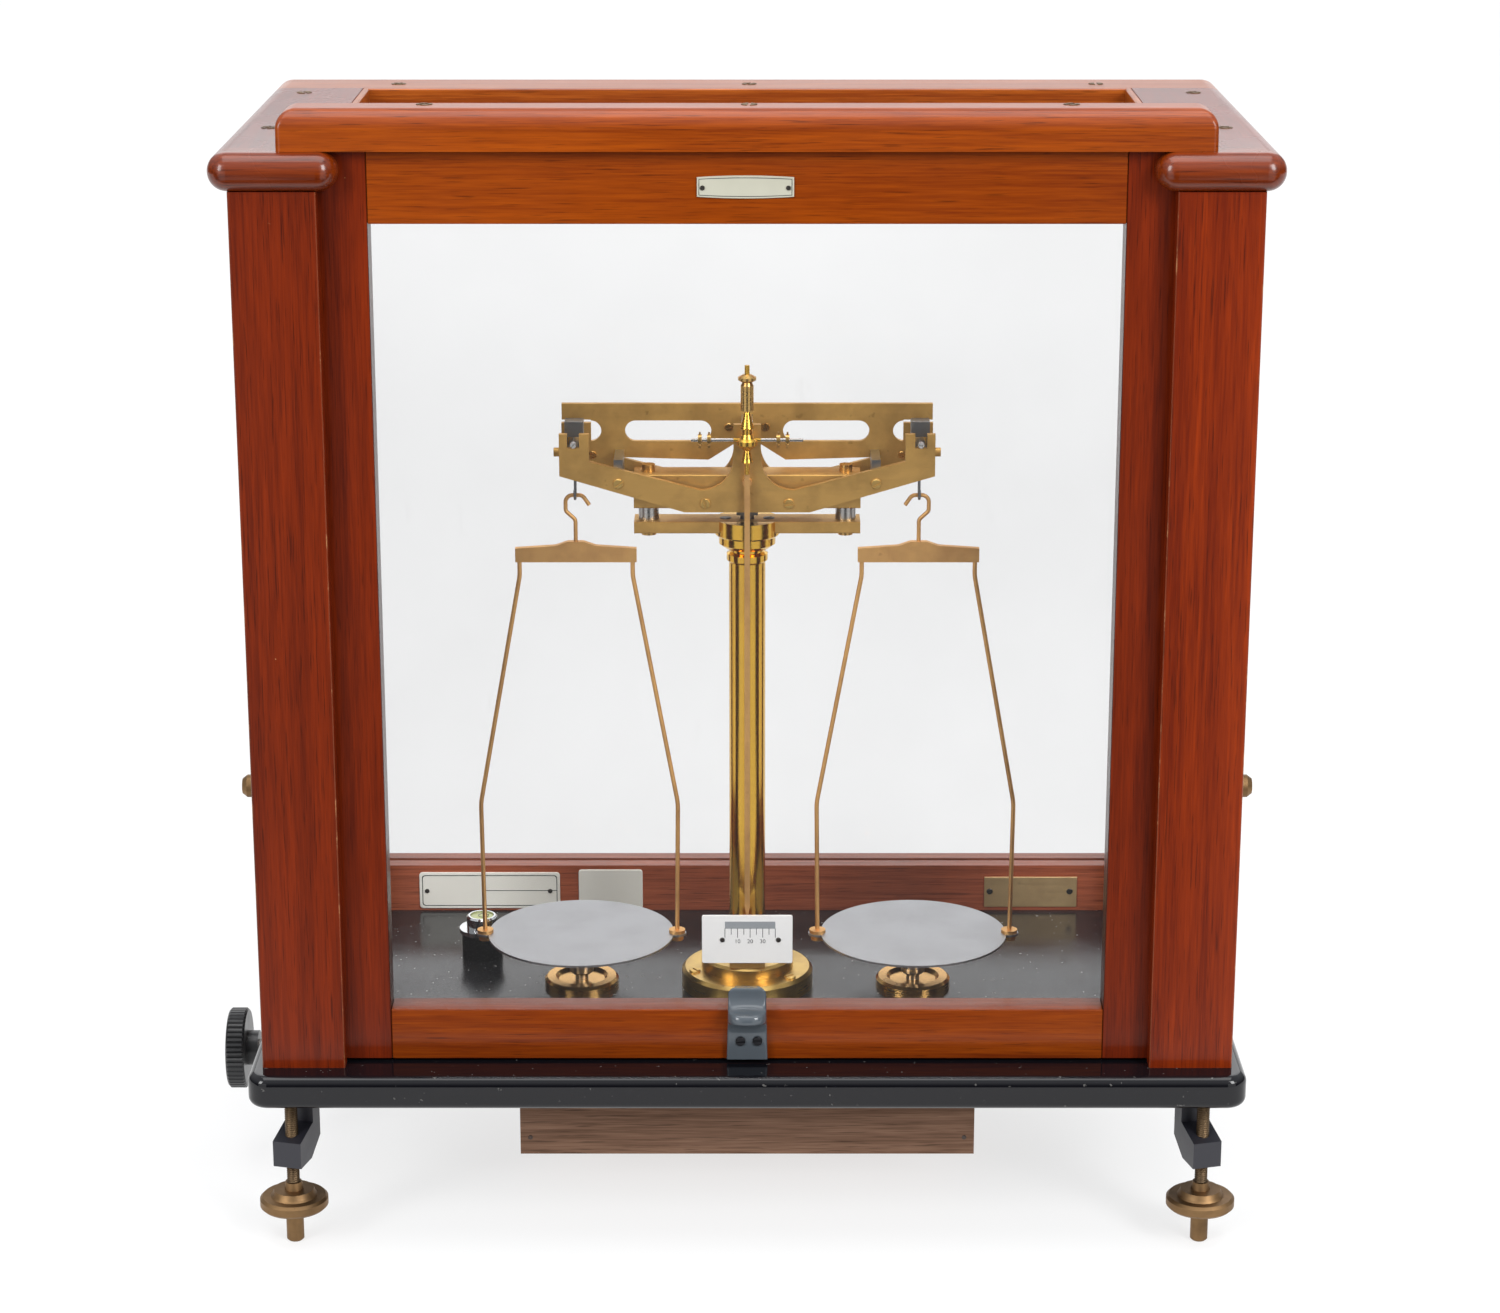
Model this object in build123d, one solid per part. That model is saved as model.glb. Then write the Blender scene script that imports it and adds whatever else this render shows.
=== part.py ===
"""Equal-arm analytical balance in a glazed wooden case, in millimetres, +Z up.

The balance is drawn with its column on the YZ plane and its feet on Z = 0. The arrest knob stands out
on the left only, so every piece is moved by COLUMN_X when it is saved: the origin is then under the
middle of the whole. The front, with the sliding sash, faces -Y.
"""

import math
import os

from build123d import *

os.makedirs("parts", exist_ok=True)

# Fits and clearances
RUN = 0.05          # radial clearance of a shaft or pin that turns or slides
SEAT = 0.3          # clearance between faces that slide past each other
PANE_FIT = 0.15     # clearance of a pane in its groove
COLUMN_X = 9.0      # column to the middle of the whole, along X

# Driving sizes
CASE_HALF = 210.5   # outer faces of pillars, posts and doors, from the column
CASE_H = 382.0
BASE_D = 240.0
BASE_TOP = 85.0     # height of the base's upper face above the floor

# Base board
BASE_BEYOND = 6.0   # base outside the pillars
BASE_W = 2 * (CASE_HALF + BASE_BEYOND)
BASE_T = 15.0
BASE_CORNER = 9.0
BASE_EDGE = 4.0
BASE_BOTTOM = BASE_TOP - BASE_T

# Case: front pillars, rear frame, top frame
FRONT_LEDGE = 12.0  # base in front of the pillars
BACK_LEDGE = 11.0
CASE_FRONT = -BASE_D / 2 + FRONT_LEDGE
CASE_BACK = BASE_D / 2 - BACK_LEDGE
CASE_TOP = BASE_TOP + CASE_H
PILLAR_W = 36.0
PILLAR_D = 36.0
PILLAR_IN = CASE_HALF - PILLAR_W
POST_W = 30.0
POST_D = 30.0
POST_IN = CASE_HALF - POST_W
POST_FRONT = CASE_BACK - POST_D
REAR_RAIL_T = 18.0
REAR_RAIL_SET = 3.0           # rail face behind the posts' rear face
REAR_LOW_H = 23.0
REAR_HIGH_H = 30.0
PANE_T = 3.0
PANE_GRIP = 4.0               # how far a pane runs into its frame
TOP_T = 16.0
TOP_BEYOND = 8.0              # top frame outside the pillars
TOP_AHEAD = 5.0
TOP_BEHIND = 13.0
TOP_REAR_D = 30.0             # rear rail, front to back
TOP_REVEAL = 0.9              # opening wider than the space between the pillars
NOSE_LAP = 9.0                # nose in front of the sash
TOP_HALF = CASE_HALF + TOP_BEYOND
TOP_FRONT = CASE_FRONT - TOP_AHEAD
TOP_BACK = CASE_BACK + TOP_BEHIND
TOP_JOINT = TOP_BACK - TOP_REAR_D
TOP_IN = PILLAR_IN + TOP_REVEAL
NOSE_IN = PILLAR_IN - NOSE_LAP
NOSE_R = 7.8
NOSE_CORNER = 8.5
TOP_Z = CASE_TOP + TOP_T
CROSS_RAIL_D = 20.0
TOP_PANE_UP = 5.0             # underside of the top pane above the pillars

# Sliding sash
SASH_SET = 8.0                # sash face behind the pillars' face
SASH_T = 14.0
SASH_TONGUE = 5.7             # run of the sash into each pillar
SASH_STILE_W = 19.75          # stile seen between pillar and glass
SASH_FOOT = 1.0               # sash above the base
SASH_LOW_H = 26.7
SASH_HIGH_H = 30.4
SASH_TRAVEL = 170.0
SASH_FRONT = CASE_FRONT + SASH_SET
SASH_BACK = SASH_FRONT + SASH_T
SASH_MID = (SASH_FRONT + SASH_BACK) / 2
SASH_HALF = PILLAR_IN + SASH_TONGUE
SASH_GLASS_HALF = PILLAR_IN - SASH_STILE_W
SASH_BOTTOM = BASE_TOP + SASH_FOOT
CAP_LAP = 16.0                # cap over each pillar
CAP_SET = 2.0                 # cap behind the pillars' face
CAP_HALF = PILLAR_IN + CAP_LAP
CAP_H = 17.0
CAP_FRONT = CASE_FRONT + CAP_SET
CAP_ROUND = 8.0
HANDLE_W = 17.4
HANDLE_H = 32.5
HANDLE_PLATE = 3.0
HANDLE_REACH = 13.0           # lip in front of the sash
HANDLE_FOOT = 0.6             # handle above the sash's lower edge
HANDLE_NECK = 13.0            # height at which the lip leaves the plate
HANDLE_CORNER = 2.2

# Counterpoise in each pillar
CORD_R = 0.8
CORD_SET = 4.0                # cord on the sash side, inside the pillar
SHAFT_SET = 20.5              # weight shaft's axis, inside the pillar
CORD_IN = PILLAR_IN + CORD_SET
SHAFT_IN = PILLAR_IN + SHAFT_SET
WEIGHT_R = 9.7
WEIGHT_L = 160.0
WEIGHT_DROP = 9.0             # weight's top below the pulley's rim
PULLEY_BELOW = 25.0           # pulley's axis under the pillar's top
PULLEY_W = 5.0
PULLEY_FLANGE = 1.0           # rim outside the cord's centre
PULLEY_AXLE_R = 1.5
PULLEY_AXLE_L = 11.0
PULLEY_SIDE = 0.5             # free space on each side of the pulley
CORD_UP = 171.0               # where the cord is fixed in the sash's edge
CORD_END = BASE_TOP + CORD_UP
CORD_TRENCH = 0.8             # free space beside the cord in the sash's edge
PULLEY_R = (SHAFT_IN - CORD_IN) / 2
PULLEY_X = (SHAFT_IN + CORD_IN) / 2
PULLEY_Z = CASE_TOP - PULLEY_BELOW
PULLEY_RIM = PULLEY_R + PULLEY_FLANGE

# Side doors
DOOR_T = 16.0
DOOR_STILE = 24.0
DOOR_RAIL = 26.0
DOOR_GAP = 0.4
HINGE_OUT = 2.5               # hinge axis outside the case
HINGE_R = 2.4
HINGE_PIN_R = 1.0
HINGE_H = 36.0
HINGE_LEAF_T = 1.2
HINGE_LEAF_W = 14.0
HINGE_FROM_ENDS = 60.0
HINGE_CLEAR = 0.3
DOOR_KNOB_R = 5.0
DOOR_KNOB_OUT = 10.5
DOOR_KNOB_UP = 113.0
DOOR_FRONT = CASE_FRONT + PILLAR_D + DOOR_GAP
DOOR_BACK = POST_FRONT - DOOR_GAP
DOOR_BOTTOM = BASE_TOP + DOOR_GAP
DOOR_TOP = CASE_TOP - DOOR_GAP
HINGE_X = CASE_HALF + HINGE_OUT
HINGE_Y = POST_FRONT - DOOR_GAP / 2

# Column
COLUMN_Y = -8.0
FOOT_R = 30.0
FOOT_H = 9.0
FOOT_STEP_R = 21.0
FOOT_STEP_H = 6.0
SHAFT_R = 8.15
COLUMN_BORE = 3.3
KNIFE_UP = 258.7              # the three knife edges above the base
KNIFE_Z = BASE_TOP + KNIFE_UP
COLUMN_FOOT_TOP = BASE_TOP + FOOT_H + FOOT_STEP_H

# Heights below, with a minus, or above the knife edges
CROSS_LOW = -43.0
CROSS_HIGH = -37.7
BRIDGE_LOW = -31.4
BRIDGE_HIGH = -16.3
CROSS_HALF = 50.0
CROSS_D = 14.8
BRIDGE_D = 15.8
POST_X = 43.6
STUD_R = 2.0
BUSH_R = 4.5
LOCK_NUT_R = 3.3
LOCK_NUT_H = 2.0
KNURLED_NUT_R = 2.9
KNURLED_NUT_H = 3.2
CAPITAL_R = 14.4
CAPITAL_LOW = -45.2
CAPITAL_EDGE = 0.8
RING_R = 12.6
RING_LOW = -48.8
RING_SLOPE = 2.0
BEAD_R = 9.2
BEAD_HIGH = -53.6
BEAD_LOW = -56.4
BEAD_SLOPE = 1.0
NECK_IN = 0.9
AGATE_X = 9.0
AGATE_Y = 8.6
AGATE_STEM = 5.0
AGATE_T = 4.0
EDGE_GAP = 0.05               # agate to knife edge

# Beam
ARM = 76.2                    # centre knife to end knife
PLATE_T = 2.7
PLATE_OUT = 11.5              # middle of each plate from the column's axis
BEAM_HALF = 82.4
TOWER_IN = 69.3
TOWER_TOP = 3.1
TOWER_FOOT = -9.2
TOWER_LOW = -15.7
NOTCH_W = 5.3
NOTCH_DEEP = 6.3
HULL_FLAT = 27.5              # half-length of the flat under the beam
HULL_LOW = -32.0
SWEEP_R = 14.5
SWEEP_X = 20.5
SWEEP_LOW = -22.0
MAST_HALF = SWEEP_X - SWEEP_R
MAST_TOP = 7.5
RULE_HALF = 82.2
RULE_TOP = 11.8
RULE_LOW = 4.6
SLOT_IN = 15.9
SLOT_OUT = 54.2
SLOT_TOP = 4.2
SLOT_LOW = -5.2
WEB_OUT = 64.7                # web beyond the slots
WINDOW_OUT = 57.0
WINDOW_OUT_Z = -11.4
WINDOW_IN = 17.1
WINDOW_IN_Z = -13.6
WINDOW_MAST = 5.8
WINDOW_MAST_Z = -6.4
SPACER_X = 56.6
SPACER_W = 4.0
SPACER_TOP = -9.0
SPACER_LOW = -23.0
END_BLOCK_T = 1.5
END_BLOCK_TOP = -5.5
END_BLOCK_LOW = -10.0
END_SCREW_R = 2.0
END_SCREW_L = 3.0
KNIFE_W = 5.0
KNIFE_EDGE = 4.0              # height of the knife's slope
KNIFE_BACK = 7.0
KNIFE_SHOULDER = 2.0          # lifting shoulder above the centre edge
KNIFE_EDGE_HALF = 4.4         # half-length of the centre edge

# Gravity bob, balancing nuts and pointer, in front of the beam
BOB_OUT = 5.2                 # bob's axis in front of the plate
BOB_ROD_R = 1.1
BOB_ROD_TOP = 35.0
BOB_ROD_LOW = -13.5
BOB_RING_R = 4.5
BOB_RING_TOP = 4.5
BOB_RING_LOW = -1.0
BOB_CONE_R = 3.0
BOB_CONE_TOP = 14.4
BOB_NUT_LOW = 15.0
BOB_NUT_WAIST = 26.0
BOB_NUT_R = 2.85
BOB_NUT_KNOB_R = 4.0
BOB_NUT_TOP = 31.0
BALANCE_ROD_R = 0.8
BALANCE_ROD_Z = 1.8
BALANCE_ROD_L = 24.5
BALANCE_NUT_R = 2.6
BALANCE_NUT_T = 1.6
BALANCE_SPIKE = 3.6
BALANCE_SPIKES = 6
BALANCE_SPIKE_W = 0.8
BALANCE_LEFT = (-20.6, -16.6)
BALANCE_RIGHT = (13.6, 17.6)
POINTER_W = 2.4
POINTER_T = 0.8
POINTER_OUT = 3.0             # pointer's back in front of the plate
POINTER_TOP = -8.8
POINTER_UP = 38.0
POINTER_TIP = BASE_TOP + POINTER_UP
POINTER_POINT = 6.0           # length of the tapered end
POINTER_BOSS = 4.0
POINTER_BOSS_Z = -18.0

# Stirrups on the end knives
YOKE_T = 1.0
YOKE_IN = 3.1
YOKE_TOP = 6.7
YOKE_HALF = 4.4
YOKE_LOW = -16.6
YOKE_BAR = 2.6
HOOK_WIRE_R = 0.65
HOOK_R = 1.9
HOOK_LOW = -28.9
HOOK_TIP = 2.4

# Hangers and pans
LOOP_WIRE_R = 0.9
LOOP_GAP = 0.05
LOOP_LEFT = 4.3
LOOP_NECK = -34.5
LOOP_STEM = -38.5
LOOP_TIP_X = 6.2
LOOP_TIP_Z = -31.8
LOOP_BENDS = (2.6, 2.2, 3.2, 3.0)
YARD_LOW = -57.7
YARD_END = 6.3
YARD_MID = 9.4
YARD_HALF = 27.0
YARD_CROWN = 9.0              # half-length of the raised middle
YARD_T = 3.2
BOW_R = 1.0
BOW_TOP_X = 25.2
BOW_STRAIGHT = 6.5
BOW_WAIST_X = 44.7
BOW_WAIST_UP = 87.6
BOW_WAIST_Z = BASE_TOP + BOW_WAIST_UP
BOW_LOW_X = 44.0
BOW_BENDS = (16.0, 26.0)
BOW_TAIL = 3.6                # wire below the pan
PAN_UP = 25.0
PAN_TOP = BASE_TOP + PAN_UP
PAN_R = 42.5
PAN_T = 1.0
EAR_R = 4.2
COLLAR_R = 3.7
COLLAR_H = 1.5
PAN_NUT_R = 3.0
PAN_NUT_H = 2.4

# Scale
SCALE_W = 41.0
SCALE_H = 22.7
SCALE_UP = 18.2
SCALE_T = 1.5
SCALE_FRONT = -29.5
BRACKET_W = 16.0
BRACKET_T = 2.0

# Arrest: knob, shaft, eccentrics, lifter and pan stops
ARREST_DOWN = 32.0
ARREST_Z = BASE_TOP - ARREST_DOWN
ARREST_R = 4.0
ARREST_TRAVEL = 2.5
CAM_R = 9.0
CAM_T = 6.0
CAM_GAP = 0.15
CAM_OFFSET = ARREST_TRAVEL / math.sqrt(2)
KNOB_R = 18.5
KNOB_T = 8.5
KNOB_BEYOND = 20.5            # knob's inner face outside the pillar
KNOB_OUT = CASE_HALF + KNOB_BEYOND
KNOB_FLUTES = 48
KNOB_FLUTE = 0.75             # depth of a flute
KNOB_HUB_R = 8.0
KNOB_HUB_L = 5.0
KNOB_RIM = 3.0
KNOB_DISH = 1.6
BOX_HALF = 102.5
BOX_FRONT = -58.0
BOX_BACK = 42.0
BOX_DEEP = 63.0
BOX_BOTTOM = BASE_TOP - BOX_DEEP
BOX_WALL = 9.0
BOX_FLOOR = 6.0
SHAFT_PAST_BOX = 2.0
TAPPET_R = 6.0
TAPPET_T = 3.0
LIFTER_R = 3.0
LIFTER_GAP = 0.3              # yoke under the bridge and prongs under the beam at rest
LIFTER_YOKE_W = 9.4
LIFTER_YOKE_D = 15.0
LIFTER_YOKE_T = 3.0
PRONG_R = 1.2
PRONG_Y = 6.0
STOP_DISC_R = 17.0
STOP_DISC_H = 4.0
STOP_DISH_R = 12.0
STOP_DISH = 1.5
STOP_HEAD_R = 5.5
STOP_HEAD_LOW = 5.4           # head above the base at rest
STOP_HEAD_H = 13.6
FOLLOWER_FOOT = ARREST_Z + CAM_R + ARREST_TRAVEL / 2 + CAM_GAP

# Feet
SCREW_IN = 10.5               # screw inside the pillar's outer face
SCREW_BACK = 8.0              # screw behind the pillar's face
SCREW_X = CASE_HALF - SCREW_IN
SCREW_Y = CASE_FRONT + SCREW_BACK
SCREW_R = 2.9
SCREW_TOP = 64.0
SCREW_LOW = 10.0
WHEEL_R = 15.0
WHEEL_LOW = 16.0
WHEEL_TOP = 21.5
WHEEL_STEP_R = 9.7
WHEEL_STEP_TOP = 24.5
WHEEL_BOSS_R = 4.2
WHEEL_BOSS_TOP = 28.0
TIP_R = 3.85
BRACKET_SPLAY = 15.0
ARM_W = 13.0
ARM_STRAP = 8.0               # thickness of the upright strap
ARM_BACK = 17.0               # strap's back behind the screw
ARM_AHEAD = 6.3               # block in front of the screw
ARM_LOW = 37.0
ARM_HIGH = 48.8
ARM_KNEE = 53.0
ARM_HEEL = 44.0
FLANGE_L = 26.0
FLANGE_T = 4.0
REAR_FOOT_IN = 17.0
REAR_FOOT_Y = CASE_BACK - REAR_FOOT_IN
REAR_FOOT_R = 13.0
REAR_FOOT_FLANGE_R = 18.0
REAR_FOOT_WAIST_R = 9.0

# Spirit level
LEVEL_IN = 50.0               # level's middle from the pillar
LEVEL_X = LEVEL_IN - PILLAR_IN
LEVEL_Y = 28.0
LEVEL_R = 9.5
LEVEL_H = 12.0
LEVEL_FLANGE_R = 10.5
LEVEL_FLANGE_H = 2.0
LEVEL_BEZEL_R = 7.2
LEVEL_BEZEL_H = 6.0
LEVEL_GLASS_R = 5.6


def block(x0, x1, y0, y1, z0, z1):
    """A box between two opposite corners."""
    middle = Pos((x0 + x1) / 2, (y0 + y1) / 2, (z0 + z1) / 2)
    return middle * Box(abs(x1 - x0), abs(y1 - y0), abs(z1 - z0))


def upright(radius, z0, z1, x=0.0, y=0.0):
    """A round bar along Z."""
    return Pos(x, y, (z0 + z1) / 2) * Cylinder(radius, z1 - z0)


def along_x(radius, x0, x1, y, z):
    """A round bar along X."""
    return Pos((x0 + x1) / 2, y, z) * Rot(0, 90, 0) * Cylinder(radius, abs(x1 - x0))


def along_y(radius, y0, y1, x, z):
    """A round bar along Y."""
    return Pos(x, (y0 + y1) / 2, z) * Rot(90, 0, 0) * Cylinder(radius, abs(y1 - y0))


def turned(profile, x=0.0, y=0.0):
    """A turned piece on an upright axis, from points of radius and height."""
    outline = make_face(Polyline([(r, 0, z) for r, z in profile], close=True))
    return Pos(x, y, 0) * revolve(outline, Axis.Z)


def plate(face, y, thickness):
    """A sheet cut to a face drawn in X and Z, with its middle at y."""
    return extrude(Pos(0, y, 0) * face, thickness / 2, dir=(0, 1, 0), both=True)


def outline_xz(points):
    """A face in the XZ plane through points of x and z."""
    return make_face(Polyline([(x, 0, z) for x, z in points], close=True))


def bar_from(path, radius):
    """A round wire bent along a path that starts upright."""
    start = path @ 0
    heading = path % 0
    return sweep(Plane(start, z_dir=heading) * Circle(radius), path)


def both_sides(shape):
    """A piece made on the right, with its mirror image on the left."""
    return [shape, mirror(shape, Plane.YZ)]


def save(node, pieces):
    """Writes one node, moved so that the whole stands over the origin."""
    solids = []
    for piece in pieces if isinstance(pieces, list) else [pieces]:
        solids.extend((Pos(COLUMN_X, 0, 0) * piece).solids())
    shape = solids[0] if len(solids) == 1 else Compound(solids)
    export_step(shape, f"parts/{node}.step")


# Base and case

def base_board():
    board = block(-BASE_W / 2, BASE_W / 2, -BASE_D / 2, BASE_D / 2, BASE_BOTTOM, BASE_TOP)
    board = fillet(board.edges().filter_by(Axis.Z), BASE_CORNER)
    rims = board.edges().group_by(Axis.Z)
    board = fillet(rims[0] + rims[-1], BASE_EDGE)
    board -= upright(LIFTER_R + RUN, BASE_BOTTOM, BASE_TOP, 0, COLUMN_Y)
    for side in (-1, 1):
        board -= upright(LIFTER_R + RUN, BASE_BOTTOM, BASE_TOP, side * ARM, COLUMN_Y)
    return board


def pillar():
    """The right front pillar, with the sash groove and the shaft for the weight."""
    body = block(PILLAR_IN, CASE_HALF, CASE_FRONT, CASE_FRONT + PILLAR_D, BASE_TOP, CASE_TOP)
    body = fillet(body.edges().filter_by(Axis.Z).sort_by(Axis.Y)[:2], 0.8)
    body -= block(
        PILLAR_IN - 1, SASH_HALF + SEAT, SASH_FRONT - SEAT, SASH_BACK + SEAT, BASE_TOP, CASE_TOP
    )
    shaft_r = WEIGHT_R + SEAT
    body -= upright(shaft_r, BASE_TOP + 3, CASE_TOP, SHAFT_IN, SASH_MID)
    slot = PULLEY_W / 2 + PULLEY_SIDE
    reach = PULLEY_RIM + 2
    body -= block(
        PULLEY_X - PULLEY_RIM, PULLEY_X + PULLEY_RIM + 1,
        SASH_MID - slot, SASH_MID + slot, PULLEY_Z - reach, PULLEY_Z + reach,
    )
    half = PULLEY_AXLE_L / 2 + SEAT
    body -= along_y(PULLEY_AXLE_R + RUN, SASH_MID - half, SASH_MID + half, PULLEY_X, PULLEY_Z)
    return body


def groove(pane_box):
    """The groove a pane sits in: the pane's own box grown by its fit."""
    x0, x1, y0, y1, z0, z1 = pane_box
    grow = PANE_FIT
    return block(x0 - grow, x1 + grow, y0 - grow, y1 + grow, z0 - grow, z1 + grow)


REAR_RAIL_BACK = CASE_BACK - REAR_RAIL_SET
REAR_RAIL_FRONT = REAR_RAIL_BACK - REAR_RAIL_T
REAR_PANE_Y = (REAR_RAIL_FRONT + REAR_RAIL_BACK) / 2
REAR_PANE = (
    -POST_IN - PANE_GRIP, POST_IN + PANE_GRIP, REAR_PANE_Y - PANE_T / 2, REAR_PANE_Y + PANE_T / 2,
    BASE_TOP + REAR_LOW_H - PANE_GRIP, CASE_TOP - REAR_HIGH_H + PANE_GRIP,
)


def rear_frame():
    """Two rear posts and the rails between them, grooved for the pane."""
    post = block(POST_IN, CASE_HALF, POST_FRONT, CASE_BACK, BASE_TOP, CASE_TOP) - groove(REAR_PANE)
    low = block(-POST_IN, POST_IN, REAR_RAIL_FRONT, REAR_RAIL_BACK, BASE_TOP, BASE_TOP + REAR_LOW_H)
    high = block(-POST_IN, POST_IN, REAR_RAIL_FRONT, REAR_RAIL_BACK, CASE_TOP - REAR_HIGH_H, CASE_TOP)
    return both_sides(post) + [low - groove(REAR_PANE), high - groove(REAR_PANE)]


CROSS_FRONT = SASH_BACK + SEAT + 0.5
CROSS_BACK = CROSS_FRONT + CROSS_RAIL_D
TOP_PANE = (
    -TOP_IN - PANE_GRIP, TOP_IN + PANE_GRIP, CROSS_BACK - PANE_GRIP, TOP_JOINT + PANE_GRIP,
    CASE_TOP + TOP_PANE_UP, CASE_TOP + TOP_PANE_UP + PANE_T,
)


def top_side_rail():
    """The right rail of the top: half-round outside, with a nose that covers the sash's edge."""
    notch = SASH_HALF + SEAT
    corners = [
        (NOSE_IN, TOP_FRONT), (TOP_HALF, TOP_FRONT), (TOP_HALF, TOP_JOINT), (TOP_IN, TOP_JOINT),
        (TOP_IN, SASH_BACK + SEAT), (notch, SASH_BACK + SEAT),
        (notch, SASH_FRONT - SEAT), (NOSE_IN, SASH_FRONT - SEAT),
    ]
    rail = extrude(make_face(Polyline(corners, close=True)), TOP_T)
    rail = fillet(rail.edges().filter_by(Axis.Z).sort_by(Axis.Y)[:2], NOSE_CORNER)
    outside = [
        edge for edge in rail.edges()
        if abs((edge @ 0).Z - (edge @ 1).Z) < 0.01
        and (
            edge.center().X > TOP_HALF - 4
            or edge.center().Y < TOP_FRONT + 4
            or edge.center().X < NOSE_IN + 3
        )
        and abs(edge.center().Y - TOP_JOINT) > 1
        and abs(edge.center().Y - SASH_FRONT + SEAT) > 0.01
    ]
    rail = Pos(0, 0, CASE_TOP) * fillet(outside, NOSE_R)
    return rail - groove(TOP_PANE)


def top_cross_rails():
    """The rear rail across the whole top and the narrow one behind the sash."""
    rear = block(-TOP_HALF, TOP_HALF, TOP_JOINT, TOP_BACK, CASE_TOP, TOP_Z)
    ends = [edge for edge in rear.edges().filter_by(Axis.Y)]
    rear = fillet(ends, NOSE_R)
    front = block(-TOP_IN, TOP_IN, CROSS_FRONT, CROSS_BACK, CASE_TOP, TOP_Z)
    return [rear - groove(TOP_PANE), front - groove(TOP_PANE)]


# Sash

SASH_PANE = (
    -SASH_GLASS_HALF - PANE_GRIP, SASH_GLASS_HALF + PANE_GRIP,
    SASH_MID - PANE_T / 2, SASH_MID + PANE_T / 2,
    SASH_BOTTOM + SASH_LOW_H - PANE_GRIP, TOP_Z - SASH_HIGH_H + PANE_GRIP,
)


def sash_frame():
    """Two stiles with a trench for the cord in their outer edges, and two rails."""
    stile = block(SASH_GLASS_HALF, SASH_HALF, SASH_FRONT, SASH_BACK, SASH_BOTTOM, TOP_Z)
    half = PULLEY_W / 2 + CORD_TRENCH
    inner = PULLEY_X - PULLEY_RIM - CORD_TRENCH
    stile -= block(inner, SASH_HALF + 1, SASH_MID - half, SASH_MID + half, CORD_END, TOP_Z)
    low = block(
        -SASH_GLASS_HALF, SASH_GLASS_HALF, SASH_FRONT, SASH_BACK, SASH_BOTTOM, SASH_BOTTOM + SASH_LOW_H
    )
    high = block(-SASH_GLASS_HALF, SASH_GLASS_HALF, SASH_FRONT, SASH_BACK, TOP_Z - SASH_HIGH_H, TOP_Z)
    pane = groove(SASH_PANE)
    return both_sides(stile - pane) + [low - pane, high - pane]


def sash_cap():
    """The moulding on top of the sash, quarter-round along its front and both ends."""
    cap = block(-CAP_HALF, CAP_HALF, CAP_FRONT, SASH_BACK, TOP_Z, TOP_Z + CAP_H)
    cap = fillet(cap.edges().filter_by(Axis.Z).sort_by(Axis.Y)[:2], 2.0)
    rim = cap.edges().group_by(Axis.Z)[-1]
    shaped = [edge for edge in rim if abs(edge.center().Y - SASH_BACK) > 0.5]
    return fillet(shaped, CAP_ROUND)


def lift_handle():
    """A moulded finger pull: a plate whose upper half swells into a scooped lip."""
    low = SASH_BOTTOM + HANDLE_FOOT
    top = low + HANDLE_H
    neck = low + HANDLE_NECK
    plate_y = SASH_FRONT - HANDLE_PLATE
    lip_y = SASH_FRONT - HANDLE_REACH
    lip_z = top - 7.5
    side = (
        Polyline((0, SASH_FRONT, low), (0, plate_y, low), (0, plate_y, neck))
        + ThreePointArc((0, plate_y, neck), (0, lip_y + 2.6, neck + 4.2), (0, lip_y, lip_z - 3.0))
        + ThreePointArc((0, lip_y, lip_z - 3.0), (0, lip_y + 0.3, lip_z - 0.5), (0, lip_y + 1.6, lip_z))
        + ThreePointArc((0, lip_y + 1.6, lip_z), (0, lip_y + 6.4, lip_z + 1.7), (0, plate_y + 0.6, top))
        + Polyline((0, plate_y + 0.6, top), (0, SASH_FRONT, top), (0, SASH_FRONT, low))
    )
    body = extrude(make_face(side), HANDLE_W / 2, dir=(1, 0, 0), both=True)
    front = make_face(
        Polyline(
            (-HANDLE_W / 2, 0, low), (HANDLE_W / 2, 0, low), (HANDLE_W / 2, 0, top),
            (-HANDLE_W / 2, 0, top), close=True,
        )
    )
    mask = extrude(Pos(0, lip_y - 1, 0) * front, HANDLE_REACH + 2, dir=(0, 1, 0))
    mask = fillet(mask.edges().filter_by(Axis.Y), HANDLE_CORNER)
    return body & mask


# Counterpoise

def counterweight():
    top = PULLEY_Z - PULLEY_RIM - WEIGHT_DROP
    bar = upright(WEIGHT_R, top - WEIGHT_L, top, SHAFT_IN, SASH_MID)
    return chamfer(bar.edges().filter_by(GeomType.CIRCLE), 1.5)


def pulley():
    half = PULLEY_W / 2
    bottom = PULLEY_R - CORD_R - PANE_FIT
    half_groove = CORD_R + PANE_FIT
    axle = PULLEY_AXLE_L / 2
    profile = [
        (0, -axle), (PULLEY_AXLE_R, -axle), (PULLEY_AXLE_R, -half), (PULLEY_RIM, -half),
        (PULLEY_RIM, -half_groove), (bottom, -half_groove), (bottom, half_groove),
        (PULLEY_RIM, half_groove), (PULLEY_RIM, half), (PULLEY_AXLE_R, half), (PULLEY_AXLE_R, axle),
        (0, axle),
    ]
    return Pos(PULLEY_X, SASH_MID, PULLEY_Z) * Rot(90, 0, 0) * turned(profile)


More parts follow.
